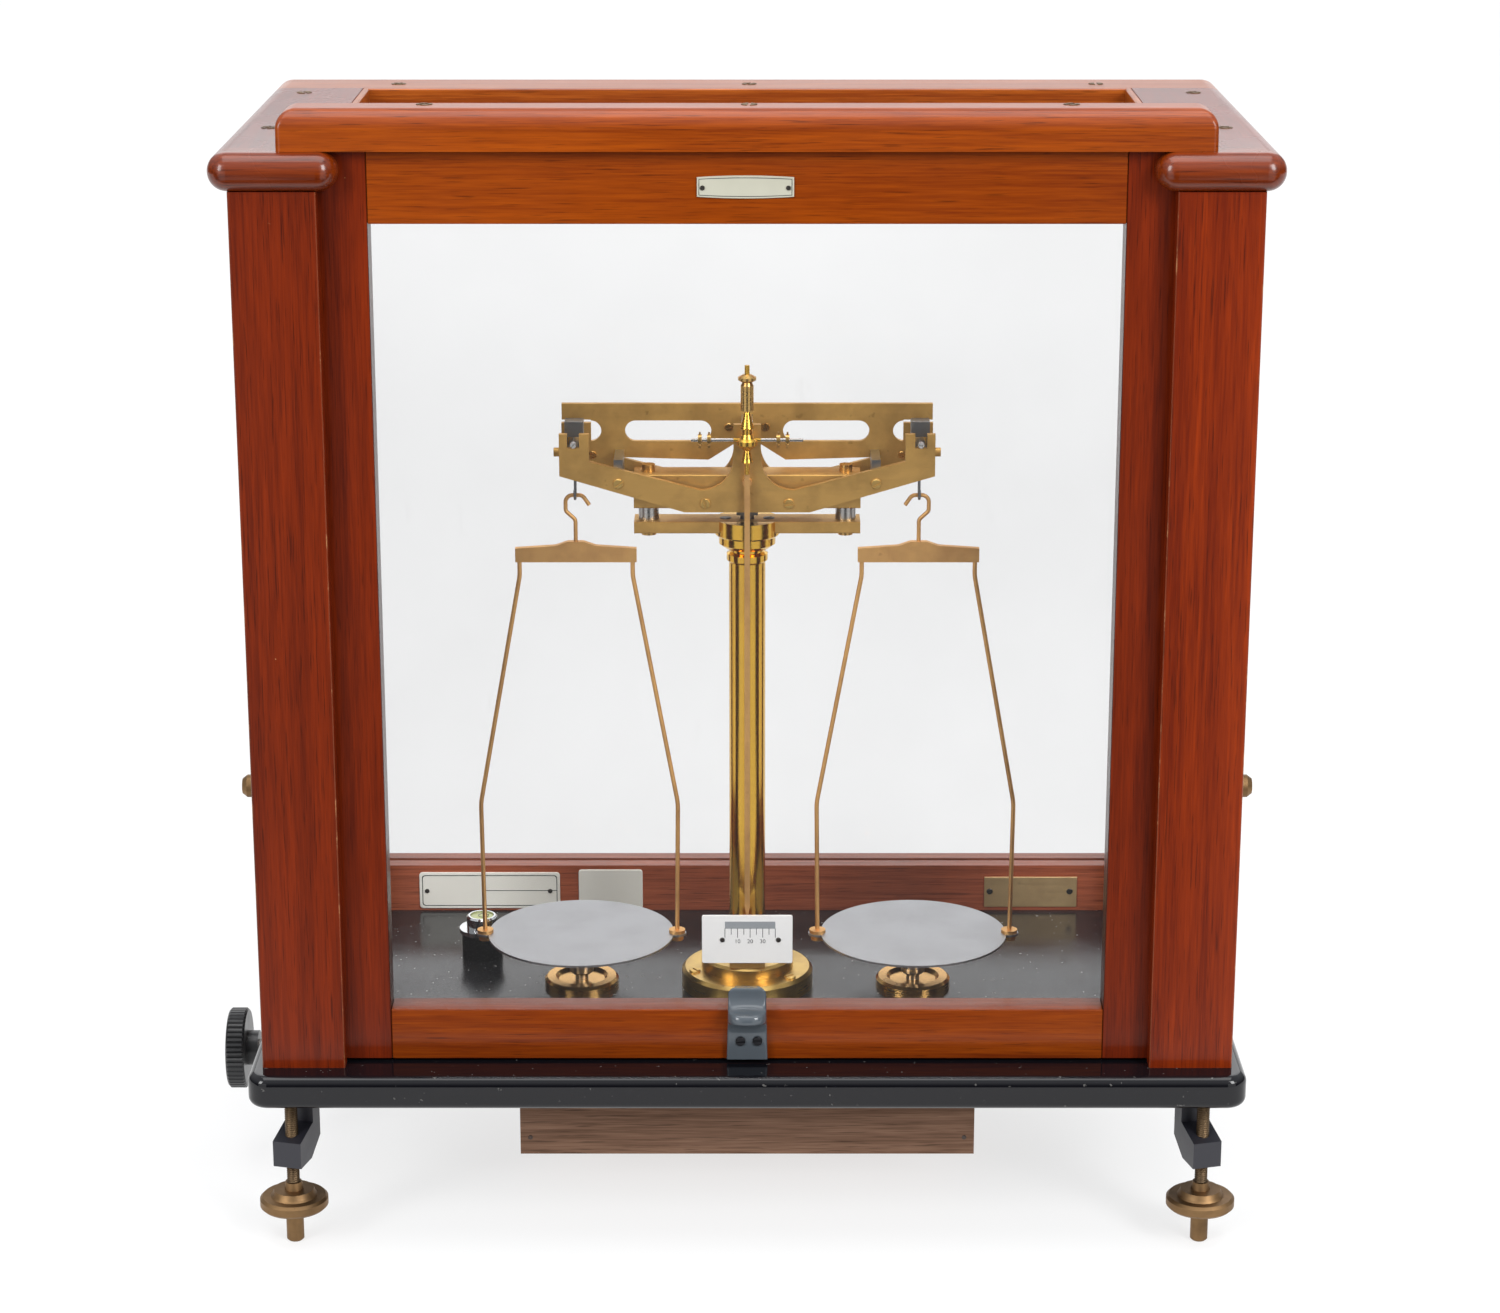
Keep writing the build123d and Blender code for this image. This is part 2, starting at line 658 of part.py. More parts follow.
def sash_cord():
    """Up from the sash's edge, over the pulley and down to the weight."""
    weight_top = PULLEY_Z - PULLEY_RIM - WEIGHT_DROP
    path = (
        Line((CORD_IN, SASH_MID, CORD_END), (CORD_IN, SASH_MID, PULLEY_Z))
        + ThreePointArc(
            (CORD_IN, SASH_MID, PULLEY_Z),
            (PULLEY_X, SASH_MID, PULLEY_Z + PULLEY_R),
            (SHAFT_IN, SASH_MID, PULLEY_Z),
        )
        + Line((SHAFT_IN, SASH_MID, PULLEY_Z), (SHAFT_IN, SASH_MID, weight_top))
    )
    return bar_from(path, CORD_R)


# Side doors

DOOR_IN = CASE_HALF - DOOR_T
DOOR_PANE_X = CASE_HALF - DOOR_T / 2
DOOR_PANE = (
    DOOR_PANE_X - PANE_T / 2, DOOR_PANE_X + PANE_T / 2,
    DOOR_FRONT + DOOR_STILE - PANE_GRIP, DOOR_BACK - DOOR_STILE + PANE_GRIP,
    DOOR_BOTTOM + DOOR_RAIL - PANE_GRIP, DOOR_TOP - DOOR_RAIL + PANE_GRIP,
)
HINGE_HEIGHTS = (BASE_TOP + HINGE_FROM_ENDS, CASE_TOP - HINGE_FROM_ENDS)


def side_door():
    """The right door's two stiles and two rails, grooved for the pane."""
    front = block(DOOR_IN, CASE_HALF, DOOR_FRONT, DOOR_FRONT + DOOR_STILE, DOOR_BOTTOM, DOOR_TOP)
    back = block(DOOR_IN, CASE_HALF, DOOR_BACK - DOOR_STILE, DOOR_BACK, DOOR_BOTTOM, DOOR_TOP)
    low = block(
        DOOR_IN, CASE_HALF, DOOR_FRONT + DOOR_STILE, DOOR_BACK - DOOR_STILE,
        DOOR_BOTTOM, DOOR_BOTTOM + DOOR_RAIL,
    )
    high = block(
        DOOR_IN, CASE_HALF, DOOR_FRONT + DOOR_STILE, DOOR_BACK - DOOR_STILE, DOOR_TOP - DOOR_RAIL, DOOR_TOP
    )
    return [piece - groove(DOOR_PANE) for piece in (front, back, low, high)]


def hinge_barrel(radius, z0, z1):
    return upright(radius, z0, z1, HINGE_X, HINGE_Y)


def fixed_hinges():
    """The leaves on the right rear post, with the outer knuckles and the pin."""
    hinges = []
    third = HINGE_H / 3
    for middle in HINGE_HEIGHTS:
        low = middle - HINGE_H / 2
        leaf = block(
            CASE_HALF, CASE_HALF + HINGE_LEAF_T, POST_FRONT, POST_FRONT + HINGE_LEAF_W, low, low + HINGE_H
        )
        hinge = leaf + hinge_barrel(HINGE_R, low, low + HINGE_H)
        hinge -= hinge_barrel(HINGE_R + HINGE_CLEAR, low + third, low + 2 * third)
        hinge -= block(CASE_HALF - 1, CASE_HALF, HINGE_Y - HINGE_R, HINGE_Y + HINGE_R, low, low + HINGE_H)
        hinges.append(hinge + hinge_barrel(HINGE_PIN_R, low, low + HINGE_H))
    return hinges


def door_fittings():
    """The right door's knob and the moving leaves with the middle knuckle."""
    fittings = []
    third = HINGE_H / 3
    for middle in HINGE_HEIGHTS:
        low = middle - HINGE_H / 2
        leaf = block(
            CASE_HALF, CASE_HALF + HINGE_LEAF_T, DOOR_BACK - HINGE_LEAF_W, HINGE_Y, low, low + HINGE_H
        )
        for z0 in (low, low + 2 * third):
            leaf -= hinge_barrel(HINGE_R + HINGE_CLEAR, z0, z0 + third)
        knuckle = hinge_barrel(HINGE_R, low + third + HINGE_CLEAR / 2, low + 2 * third - HINGE_CLEAR / 2)
        knuckle += leaf
        fittings.append(knuckle - hinge_barrel(HINGE_PIN_R + RUN, low - 1, low + HINGE_H + 1))
    knob_y = DOOR_FRONT + DOOR_STILE / 2
    profile = [
        (0, 0), (6, 0), (6, 1.2), (2.6, 2.2), (2.6, 4.4), (DOOR_KNOB_R, 6.2), (DOOR_KNOB_R, 8.4),
        (DOOR_KNOB_R - 1.6, DOOR_KNOB_OUT), (0, DOOR_KNOB_OUT),
    ]
    fittings.append(Pos(CASE_HALF, knob_y, BASE_TOP + DOOR_KNOB_UP) * Rot(0, 90, 0) * turned(profile))
    return fittings


# Column and the fixed bridge

def column_foot():
    step = BASE_TOP + FOOT_H
    profile = [
        (LIFTER_R + SEAT, BASE_TOP), (FOOT_R, BASE_TOP), (FOOT_R, step - 1.5), (FOOT_R - 1.5, step),
        (FOOT_STEP_R, step), (FOOT_STEP_R, COLUMN_FOOT_TOP - 1.2), (FOOT_STEP_R - 1.2, COLUMN_FOOT_TOP),
        (LIFTER_R + SEAT, COLUMN_FOOT_TOP),
    ]
    return turned(profile, 0, COLUMN_Y)


def column():
    """Shaft, bead and capital, slotted across the top for the crosshead."""
    k = KNIFE_Z
    neck = SHAFT_R - NECK_IN
    neck_low = k + BEAD_HIGH + BEAD_SLOPE
    ring_foot = k + RING_LOW - RING_SLOPE
    profile = [
        (COLUMN_BORE, COLUMN_FOOT_TOP), (SHAFT_R, COLUMN_FOOT_TOP), (SHAFT_R, k + BEAD_LOW - BEAD_SLOPE),
        (BEAD_R, k + BEAD_LOW), (BEAD_R, k + BEAD_HIGH), (neck, neck_low), (neck, neck_low + BEAD_SLOPE),
        (RING_R - 1.3 * RING_SLOPE, ring_foot), (RING_R, k + RING_LOW), (RING_R, k + CAPITAL_LOW),
        (CAPITAL_R - CAPITAL_EDGE, k + CAPITAL_LOW), (CAPITAL_R, k + CAPITAL_LOW + CAPITAL_EDGE),
        (CAPITAL_R, k + CROSS_HIGH), (COLUMN_BORE, k + CROSS_HIGH),
    ]
    shaft = turned(profile, 0, COLUMN_Y)
    half = CROSS_D / 2
    wide = CAPITAL_R + SEAT
    return shaft - block(-wide, wide, COLUMN_Y - half, COLUMN_Y + half, k + CROSS_LOW, k)


def crosshead():
    half = CROSS_D / 2
    bar = block(
        -CROSS_HALF, CROSS_HALF, COLUMN_Y - half, COLUMN_Y + half, KNIFE_Z + CROSS_LOW, KNIFE_Z + CROSS_HIGH
    )
    bar = chamfer(bar.edges().filter_by(Axis.X), 0.4)
    bar -= upright(LIFTER_R + SEAT, KNIFE_Z + CROSS_LOW - 1, KNIFE_Z, 0, COLUMN_Y)
    for side in (-1, 1):
        bar -= upright(STUD_R + RUN, KNIFE_Z + CROSS_LOW - 1, KNIFE_Z, side * POST_X, COLUMN_Y)
    return bar


def bridge_post():
    """A stud with a lock nut under the crosshead, a bush and a knurled nut on the bridge."""
    k = KNIFE_Z
    profile = [
        (0, k + CROSS_LOW - LOCK_NUT_H), (LOCK_NUT_R, k + CROSS_LOW - LOCK_NUT_H),
        (LOCK_NUT_R, k + CROSS_LOW),
        (STUD_R, k + CROSS_LOW), (STUD_R, k + CROSS_HIGH), (BUSH_R, k + CROSS_HIGH), (BUSH_R, k + BRIDGE_LOW),
        (STUD_R, k + BRIDGE_LOW), (STUD_R, k + BRIDGE_HIGH), (KNURLED_NUT_R, k + BRIDGE_HIGH),
        (KNURLED_NUT_R, k + BRIDGE_HIGH + KNURLED_NUT_H), (0, k + BRIDGE_HIGH + KNURLED_NUT_H),
    ]
    return turned(profile, POST_X, COLUMN_Y)


def bridge_bar():
    half = BRIDGE_D / 2
    low = KNIFE_Z + BRIDGE_LOW
    high = KNIFE_Z + BRIDGE_HIGH
    bar = block(-CROSS_HALF, CROSS_HALF, COLUMN_Y - half, COLUMN_Y + half, low, high)
    bar = chamfer(bar.edges().filter_by(Axis.X), 0.4)
    for side in (-1, 1):
        bar -= upright(STUD_R + RUN, low - 1, high + 1, side * POST_X, COLUMN_Y)
        bar -= upright(PRONG_R + SEAT, low - 1, high + 1, 0, COLUMN_Y + side * PRONG_Y)
    return bar


def agate_plane():
    """The bearing that the centre knife rocks on, on its stem."""
    top = KNIFE_Z - EDGE_GAP
    low = KNIFE_Z + BRIDGE_HIGH
    front = COLUMN_Y - AGATE_Y / 2
    back = COLUMN_Y + AGATE_Y / 2
    stem = block(-AGATE_STEM / 2, AGATE_STEM / 2, front, back, low, top - AGATE_T)
    plane = block(-AGATE_X / 2, AGATE_X / 2, front, back, top - AGATE_T, top)
    return stem + plane


# Beam

FRONT_PLATE_Y = COLUMN_Y - PLATE_OUT
REAR_PLATE_Y = COLUMN_Y + PLATE_OUT
INSIDE_FRONT = FRONT_PLATE_Y + PLATE_T / 2
INSIDE_REAR = REAR_PLATE_Y - PLATE_T / 2
PLATE_FACE = FRONT_PLATE_Y - PLATE_T / 2


def hull_face():
    """The boat-shaped outline of a beam plate, about its middle, in x and height above the edges."""
    notch_in = ARM - NOTCH_W / 2
    notch_out = ARM + NOTCH_W / 2
    sweep_top = SWEEP_LOW + SWEEP_R
    half = SWEEP_R * math.sqrt(0.5)
    line = Polyline(
        (0, 0, MAST_TOP), (MAST_HALF, 0, MAST_TOP), (MAST_HALF, 0, sweep_top),
    )
    line += ThreePointArc(
        (MAST_HALF, 0, sweep_top), (SWEEP_X - half, 0, sweep_top - half), (SWEEP_X, 0, SWEEP_LOW)
    )
    line += Polyline(
        (SWEEP_X, 0, SWEEP_LOW), (TOWER_IN, 0, TOWER_FOOT), (TOWER_IN, 0, TOWER_TOP),
        (notch_in, 0, TOWER_TOP), (notch_in, 0, TOWER_TOP - NOTCH_DEEP),
        (notch_out, 0, TOWER_TOP - NOTCH_DEEP), (notch_out, 0, TOWER_TOP),
        (BEAM_HALF, 0, TOWER_TOP), (BEAM_HALF, 0, TOWER_LOW), (HULL_FLAT, 0, HULL_LOW), (0, 0, HULL_LOW),
        (0, 0, MAST_TOP),
    )
    half_face = make_face(line)
    return half_face + mirror(half_face, Plane.YZ)


def beam_front_plate():
    return Pos(0, 0, KNIFE_Z) * plate(hull_face(), FRONT_PLATE_Y, PLATE_T)


def beam_rear_plate():
    """The same hull with a straight rule above it, slotted, and the end blocks with their screws."""
    slot_r = (SLOT_TOP - SLOT_LOW) / 2
    slot_z = (SLOT_TOP + SLOT_LOW) / 2
    rule = outline_xz([
        (-RULE_HALF, RULE_TOP), (RULE_HALF, RULE_TOP), (RULE_HALF, RULE_LOW), (-RULE_HALF, RULE_LOW)
    ])
    web = outline_xz([
        (0, RULE_TOP), (TOWER_IN, RULE_TOP), (TOWER_IN, TOWER_FOOT), (WINDOW_OUT, WINDOW_OUT_Z - 1),
        (WINDOW_IN, WINDOW_IN_Z), (WINDOW_MAST, WINDOW_MAST_Z), (0, WINDOW_MAST_Z),
    ])
    span = SLOT_OUT - SLOT_IN
    slot = Plane.XZ * Pos((SLOT_IN + SLOT_OUT) / 2, slot_z) * SlotOverall(span, 2 * slot_r)
    end = Plane.XZ * Pos(WEB_OUT + slot_r, slot_z) * Circle(slot_r)
    corner = outline_xz([
        (WEB_OUT + slot_r, SLOT_TOP), (TOWER_IN + 1, SLOT_TOP),
        (TOWER_IN + 1, SLOT_LOW), (WEB_OUT + slot_r, SLOT_LOW),
    ])
    half = web - slot - end - corner
    face = hull_face() + rule + half + mirror(half, Plane.YZ)
    body = Pos(0, 0, KNIFE_Z) * plate(face, REAR_PLATE_Y, PLATE_T)
    pieces = [body]
    end_block = block(
        BEAM_HALF - END_BLOCK_T, BEAM_HALF, INSIDE_FRONT, INSIDE_REAR,
        KNIFE_Z + END_BLOCK_LOW, KNIFE_Z + END_BLOCK_TOP,
    )
    screw_z = KNIFE_Z + (END_BLOCK_LOW + END_BLOCK_TOP) / 2
    end_block += along_x(END_SCREW_R, BEAM_HALF, BEAM_HALF + END_SCREW_L, COLUMN_Y, screw_z)
    return pieces + both_sides(end_block)


def beam_knives():
    """Steel spacers between the plates, the centre knife, edge down, and the end knives, edge up."""
    half = KNIFE_W / 2
    centre = block(
        -half, half, INSIDE_FRONT, INSIDE_REAR, KNIFE_Z + KNIFE_SHOULDER, KNIFE_Z + KNIFE_BACK
    )
    slope = outline_xz([(0, 0), (half, KNIFE_EDGE), (-half, KNIFE_EDGE)])
    centre += Pos(0, 0, KNIFE_Z) * plate(slope, COLUMN_Y, 2 * KNIFE_EDGE_HALF)
    end = outline_xz([
        (0, 0), (half, -KNIFE_EDGE), (half, -KNIFE_BACK), (-half, -KNIFE_BACK), (-half, -KNIFE_EDGE)
    ])
    end_knife = Pos(ARM, 0, KNIFE_Z) * plate(end, COLUMN_Y, INSIDE_REAR - INSIDE_FRONT)
    spacer = block(
        SPACER_X - SPACER_W / 2, SPACER_X + SPACER_W / 2, INSIDE_FRONT, INSIDE_REAR,
        KNIFE_Z + SPACER_LOW, KNIFE_Z + SPACER_TOP,
    )
    return [centre] + both_sides(end_knife) + both_sides(spacer)


BOB_Y = PLATE_FACE - BOB_OUT


def gravity_bob():
    """The turned spindle in front of the beam, with the arm that holds it and the balancing rods."""
    k = KNIFE_Z
    profile = [
        (0, k + BOB_ROD_LOW), (BOB_ROD_R, k + BOB_ROD_LOW), (BOB_ROD_R, k - 8.0), (2.6, k - 8.0),
        (2.2, k - 6.6),
        (1.4, k - 2.8), (BOB_RING_R - 0.8, k + BOB_RING_LOW), (BOB_RING_R, k + BOB_RING_LOW + 0.8),
        (BOB_RING_R, k + 1.6), (BOB_RING_R - 1.4, k + 2.6), (BOB_CONE_R - 0.6, k + BOB_RING_TOP),
        (BOB_CONE_R - 0.6, k + 6.8), (BOB_CONE_R, k + 7.2), (BOB_ROD_R, k + BOB_CONE_TOP),
        (BOB_ROD_R, k + BOB_ROD_TOP), (0, k + BOB_ROD_TOP),
    ]
    spindle = turned(profile, 0, BOB_Y)
    spindle += block(-1.5, 1.5, BOB_Y, PLATE_FACE, k - 0.6, k + 3.4)
    return spindle + along_x(BALANCE_ROD_R, -BALANCE_ROD_L, BALANCE_ROD_L, BOB_Y, k + BALANCE_ROD_Z)


def gravity_nut():
    k = KNIFE_Z
    bore = BOB_ROD_R + RUN
    profile = [
        (bore, k + BOB_NUT_LOW), (BOB_NUT_R, k + BOB_NUT_LOW), (BOB_NUT_R, k + BOB_NUT_WAIST),
        (BOB_NUT_R - 0.7, k + BOB_NUT_WAIST + 1.4), (BOB_NUT_KNOB_R, k + BOB_NUT_WAIST + 2.6),
        (BOB_NUT_KNOB_R, k + BOB_NUT_TOP - 1.2), (BOB_NUT_R - 1.0, k + BOB_NUT_TOP), (bore, k + BOB_NUT_TOP),
    ]
    return turned(profile, 0, BOB_Y)


def balance_nut(x):
    """A small spoked nut on the balancing rod."""
    z = KNIFE_Z + BALANCE_ROD_Z
    nut = along_x(BALANCE_NUT_R, x - BALANCE_NUT_T / 2, x + BALANCE_NUT_T / 2, BOB_Y, z)
    for n in range(BALANCE_SPIKES):
        spike = Pos(x, BOB_Y, z) * Rot(360 / BALANCE_SPIKES * n, 0, 0) * Pos(0, 0, BALANCE_NUT_R)
        nut += spike * Box(BALANCE_SPIKE_W, BALANCE_SPIKE_W, 2 * (BALANCE_SPIKE - BALANCE_NUT_R))
    return nut - along_x(BALANCE_ROD_R + RUN, x - 3, x + 3, BOB_Y, z)


def pointer():
    """A thin strip from the beam's front plate down to the scale, with its fixing boss."""
    back = PLATE_FACE - POINTER_OUT
    strip = block(
        -POINTER_W / 2, POINTER_W / 2, back - POINTER_T, back,
        POINTER_TIP + POINTER_POINT, KNIFE_Z + POINTER_TOP,
    )
    tip = outline_xz([
        (-POINTER_W / 2, POINTER_POINT), (POINTER_W / 2, POINTER_POINT),
        (POINTER_W / 8, 0), (-POINTER_W / 8, 0),
    ])
    strip += Pos(0, 0, POINTER_TIP) * plate(tip, back - POINTER_T / 2, POINTER_T)
    boss = along_y(POINTER_BOSS / 2, back, PLATE_FACE, 0, KNIFE_Z + POINTER_BOSS_Z)
    return strip + boss


# Stirrups, hangers and pans

HOOK_STEM_Y = COLUMN_Y + HOOK_R


def stirrup():
    """The right stirrup: a yoke that sits on the end knife, with a wire hook under it."""
    out = YOKE_IN + YOKE_T
    front = COLUMN_Y - YOKE_HALF
    back = COLUMN_Y + YOKE_HALF
    top = KNIFE_Z + YOKE_TOP
    low = KNIFE_Z + YOKE_LOW
    yoke = block(ARM - out, ARM + out, front, back, low, top)
    yoke -= block(ARM - YOKE_IN, ARM + YOKE_IN, front - 1, back + 1, low + YOKE_BAR, KNIFE_Z + EDGE_GAP)
    bend = KNIFE_Z + HOOK_LOW + HOOK_R
    path = (
        Line((ARM, HOOK_STEM_Y, low), (ARM, HOOK_STEM_Y, bend))
        + ThreePointArc(
            (ARM, HOOK_STEM_Y, bend), (ARM, COLUMN_Y, bend - HOOK_R), (ARM, COLUMN_Y - HOOK_R, bend)
        )
        + Line((ARM, COLUMN_Y - HOOK_R, bend), (ARM, COLUMN_Y - HOOK_R, bend + HOOK_TIP))
    )
    return yoke + bar_from(path, HOOK_WIRE_R)


def hanger():
    """The right hanger: S-hook, crowned bar and the wire bow that carries the pan by two collars."""
    k = KNIFE_Z
    loop_top = k + HOOK_LOW + HOOK_WIRE_R + LOOP_GAP + LOOP_WIRE_R
    yard_top = k + YARD_LOW + YARD_MID
    hook = FilletPolyline(
        (ARM, COLUMN_Y, yard_top - 2), (ARM, COLUMN_Y, k + LOOP_STEM),
        (ARM + LOOP_LEFT, COLUMN_Y, k + LOOP_NECK),
        (ARM + LOOP_LEFT, COLUMN_Y, loop_top), (ARM - 3.2, COLUMN_Y, loop_top),
        (ARM - LOOP_TIP_X, COLUMN_Y, k + LOOP_TIP_Z), radius=list(LOOP_BENDS),
    )
    yard = outline_xz([
        (-YARD_HALF, 0), (YARD_HALF, 0), (YARD_HALF, YARD_END), (YARD_CROWN, YARD_END + 1.2), (3.5, YARD_MID),
        (-3.5, YARD_MID), (-YARD_CROWN, YARD_END + 1.2), (-YARD_HALF, YARD_END),
    ])
    body = Pos(ARM, 0, k + YARD_LOW) * plate(yard, COLUMN_Y, YARD_T)
    body += bar_from(hook, LOOP_WIRE_R)
    for side in (-1, 1):
        bow = FilletPolyline(
            (ARM + side * BOW_TOP_X, COLUMN_Y, k + YARD_LOW + 1),
            (ARM + side * BOW_TOP_X, COLUMN_Y, k + YARD_LOW - BOW_STRAIGHT),
            (ARM + side * BOW_WAIST_X, COLUMN_Y, BOW_WAIST_Z),
            (ARM + side * BOW_LOW_X, COLUMN_Y, PAN_TOP - BOW_TAIL), radius=list(BOW_BENDS),
        )
        body += bar_from(bow, BOW_R)
        x = ARM + side * BOW_LOW_X
        body += upright(COLLAR_R, PAN_TOP, PAN_TOP + COLLAR_H, x, COLUMN_Y)
        body += upright(PAN_NUT_R, PAN_TOP - PAN_T - PAN_NUT_H, PAN_TOP - PAN_T, x, COLUMN_Y)
    return body


def pan():
    """The right pan, with a pierced ear on each side for the bow."""
    low = PAN_TOP - PAN_T
    disc = upright(PAN_R, low, PAN_TOP, ARM, COLUMN_Y)
    for side in (-1, 1):
        disc += upright(EAR_R, low, PAN_TOP, ARM + side * BOW_LOW_X, COLUMN_Y)
    for side in (-1, 1):
        disc -= upright(BOW_R + RUN, low - 1, PAN_TOP + 1, ARM + side * BOW_LOW_X, COLUMN_Y)
    return disc


# Scale

def scale_plate():
    low = BASE_TOP + SCALE_UP
    body = block(-SCALE_W / 2, SCALE_W / 2, SCALE_FRONT, SCALE_FRONT + SCALE_T, low, low + SCALE_H)
    return fillet(body.edges().filter_by(Axis.Y), 0.8)


def scale_bracket():
    """An angle on the column's foot that carries the scale plate from behind."""
    back = SCALE_FRONT + SCALE_T
    half = BRACKET_W / 2
    foot_back = COLUMN_Y - SHAFT_R - 1.5
    foot = block(-half, half, back, foot_back, COLUMN_FOOT_TOP, COLUMN_FOOT_TOP + BRACKET_T)
    stem = block(-half, half, back, back + BRACKET_T, COLUMN_FOOT_TOP, BASE_TOP + SCALE_UP + 17)
    return foot + stem


# Arrest

def arrest_knob():
    """A black knob with a fluted rim, dished in front, on a hub."""
    outer = -KNOB_OUT - KNOB_T
    rim = [
        (0, 0), (KNOB_HUB_R, 0), (KNOB_HUB_R, KNOB_HUB_L), (KNOB_R - 1, KNOB_HUB_L), (KNOB_R, KNOB_HUB_L + 1),
        (KNOB_R, KNOB_HUB_L + KNOB_T - 1), (KNOB_R - 1, KNOB_HUB_L + KNOB_T),
        (KNOB_R - KNOB_RIM, KNOB_HUB_L + KNOB_T), (KNOB_R - KNOB_RIM - 1, KNOB_HUB_L + KNOB_T - KNOB_DISH),
        (0, KNOB_HUB_L + KNOB_T - KNOB_DISH),
    ]
    knob = turned(rim)
    across = KNOB_FLUTE * math.sqrt(2)
    groove_bar = Box(across, across, KNOB_T + 2)
    for n in range(KNOB_FLUTES):
        turn = Rot(0, 0, 360 / KNOB_FLUTES * n)
        knob -= turn * Pos(KNOB_R, 0, KNOB_HUB_L + KNOB_T / 2) * Rot(0, 0, 45) * groove_bar
    knob -= upright(ARREST_R, -1, KNOB_HUB_L + KNOB_T - 4)
    return Pos(outer + KNOB_HUB_L + KNOB_T, COLUMN_Y, ARREST_Z) * Rot(0, -90, 0) * knob


def arrest_shaft():
    """The shaft under the base, with an eccentric under the column and one under each pan."""
    left = -KNOB_OUT - KNOB_T + 4
    right = BOX_HALF + SHAFT_PAST_BOX
    shaft = along_x(ARREST_R, left, right, COLUMN_Y, ARREST_Z)
    offset = CAM_OFFSET / math.sqrt(2)
    for x in (-ARM, 0, ARM):
        shaft += along_x(CAM_R, x - CAM_T / 2, x + CAM_T / 2, COLUMN_Y - offset, ARREST_Z + offset)
    return shaft


def beam_lifter():
    """The rod in the column: tappet below, and a yoke whose two prongs reach up beside the agate."""
    yoke_top = KNIFE_Z + BRIDGE_LOW - LIFTER_GAP
    yoke_low = yoke_top - LIFTER_YOKE_T
    rod = upright(TAPPET_R, FOLLOWER_FOOT, FOLLOWER_FOOT + TAPPET_T, 0, COLUMN_Y)
    rod += upright(LIFTER_R, FOLLOWER_FOOT, yoke_low, 0, COLUMN_Y)
    half = LIFTER_YOKE_D / 2
    wide = LIFTER_YOKE_W / 2
    rod += block(-wide, wide, COLUMN_Y - half, COLUMN_Y + half, yoke_low, yoke_top)
    prong_top = KNIFE_Z + KNIFE_SHOULDER - LIFTER_GAP
    for side in (-1, 1):
        rod += upright(PRONG_R, yoke_top - 1, prong_top, 0, COLUMN_Y + side * PRONG_Y)
    return rod


def arrest_box():
    """The wooden box under the base, open at the top, bored for the shaft."""
    box = block(-BOX_HALF, BOX_HALF, BOX_FRONT, BOX_BACK, BOX_BOTTOM, BASE_BOTTOM)
    box -= block(
        -BOX_HALF + BOX_WALL, BOX_HALF - BOX_WALL, BOX_FRONT + BOX_WALL, BOX_BACK - BOX_WALL,
        BOX_BOTTOM + BOX_FLOOR, BASE_BOTTOM + 1,
    )
    return box - along_x(ARREST_R + RUN, -BOX_HALF - 5, BOX_HALF + 5, COLUMN_Y, ARREST_Z)


def stop_socket():
    """The turned disc on the base under the right pan, which guides the pan stop."""
    bore = LIFTER_R + RUN
    top = BASE_TOP + STOP_DISC_H
    profile = [
        (bore, BASE_TOP), (STOP_DISC_R, BASE_TOP), (STOP_DISC_R, top - 1.2), (STOP_DISC_R - 1.2, top),
        (STOP_DISH_R, top), (STOP_DISH_R - 1.5, top - STOP_DISH), (bore, top - STOP_DISH),
    ]
    return turned(profile, ARM, COLUMN_Y)


def pan_stop():
    """The right pan stop: tappet, rod and head."""
    head = BASE_TOP + STOP_HEAD_LOW
    profile = [
        (0, FOLLOWER_FOOT), (TAPPET_R, FOLLOWER_FOOT), (TAPPET_R, FOLLOWER_FOOT + TAPPET_T),
        (LIFTER_R, FOLLOWER_FOOT + TAPPET_T), (LIFTER_R, head), (STOP_HEAD_R - 1, head),
        (STOP_HEAD_R, head + 1), (STOP_HEAD_R, head + STOP_HEAD_H - 1), (STOP_HEAD_R - 1, head + STOP_HEAD_H),
        (0, head + STOP_HEAD_H),
    ]
    return turned(profile, ARM, COLUMN_Y)


# Feet and level

def foot_bracket():
    """The right front bracket: flange under the base, strap, and a block for the levelling screw."""
    side = [
        (ARM_BACK, BASE_BOTTOM), (ARM_BACK - ARM_STRAP, BASE_BOTTOM), (ARM_BACK - ARM_STRAP, ARM_KNEE),
        (-ARM_AHEAD, ARM_HIGH), (-ARM_AHEAD, ARM_LOW), (ARM_AHEAD, ARM_LOW), (ARM_BACK, ARM_HEEL),
    ]
    face = make_face(Polyline([(0, y, z) for y, z in side], close=True))
    arm = extrude(face, ARM_W / 2, dir=(1, 0, 0), both=True)
    arm += block(
        -ARM_W / 2, ARM_W / 2, ARM_BACK - ARM_STRAP, ARM_BACK + FLANGE_L, BASE_BOTTOM - FLANGE_T, BASE_BOTTOM
    )
    arm -= upright(SCREW_R + RUN, ARM_LOW - 1, BASE_BOTTOM)
    return Pos(SCREW_X, SCREW_Y, 0) * Rot(0, 0, BRACKET_SPLAY) * arm


def rear_foot():
    """The plain foot in the middle of the back."""
    low = [
        (0, 0), (REAR_FOOT_R - 1, 0), (REAR_FOOT_R, 1), (REAR_FOOT_R, 8), (REAR_FOOT_WAIST_R, 14),
        (REAR_FOOT_WAIST_R, BASE_BOTTOM - 14), (REAR_FOOT_FLANGE_R, BASE_BOTTOM - 5),
        (REAR_FOOT_FLANGE_R, BASE_BOTTOM), (0, BASE_BOTTOM),
    ]
    return turned(low, 0, REAR_FOOT_Y)


def foot_screw():
    return upright(SCREW_R, SCREW_LOW, SCREW_TOP, SCREW_X, SCREW_Y)


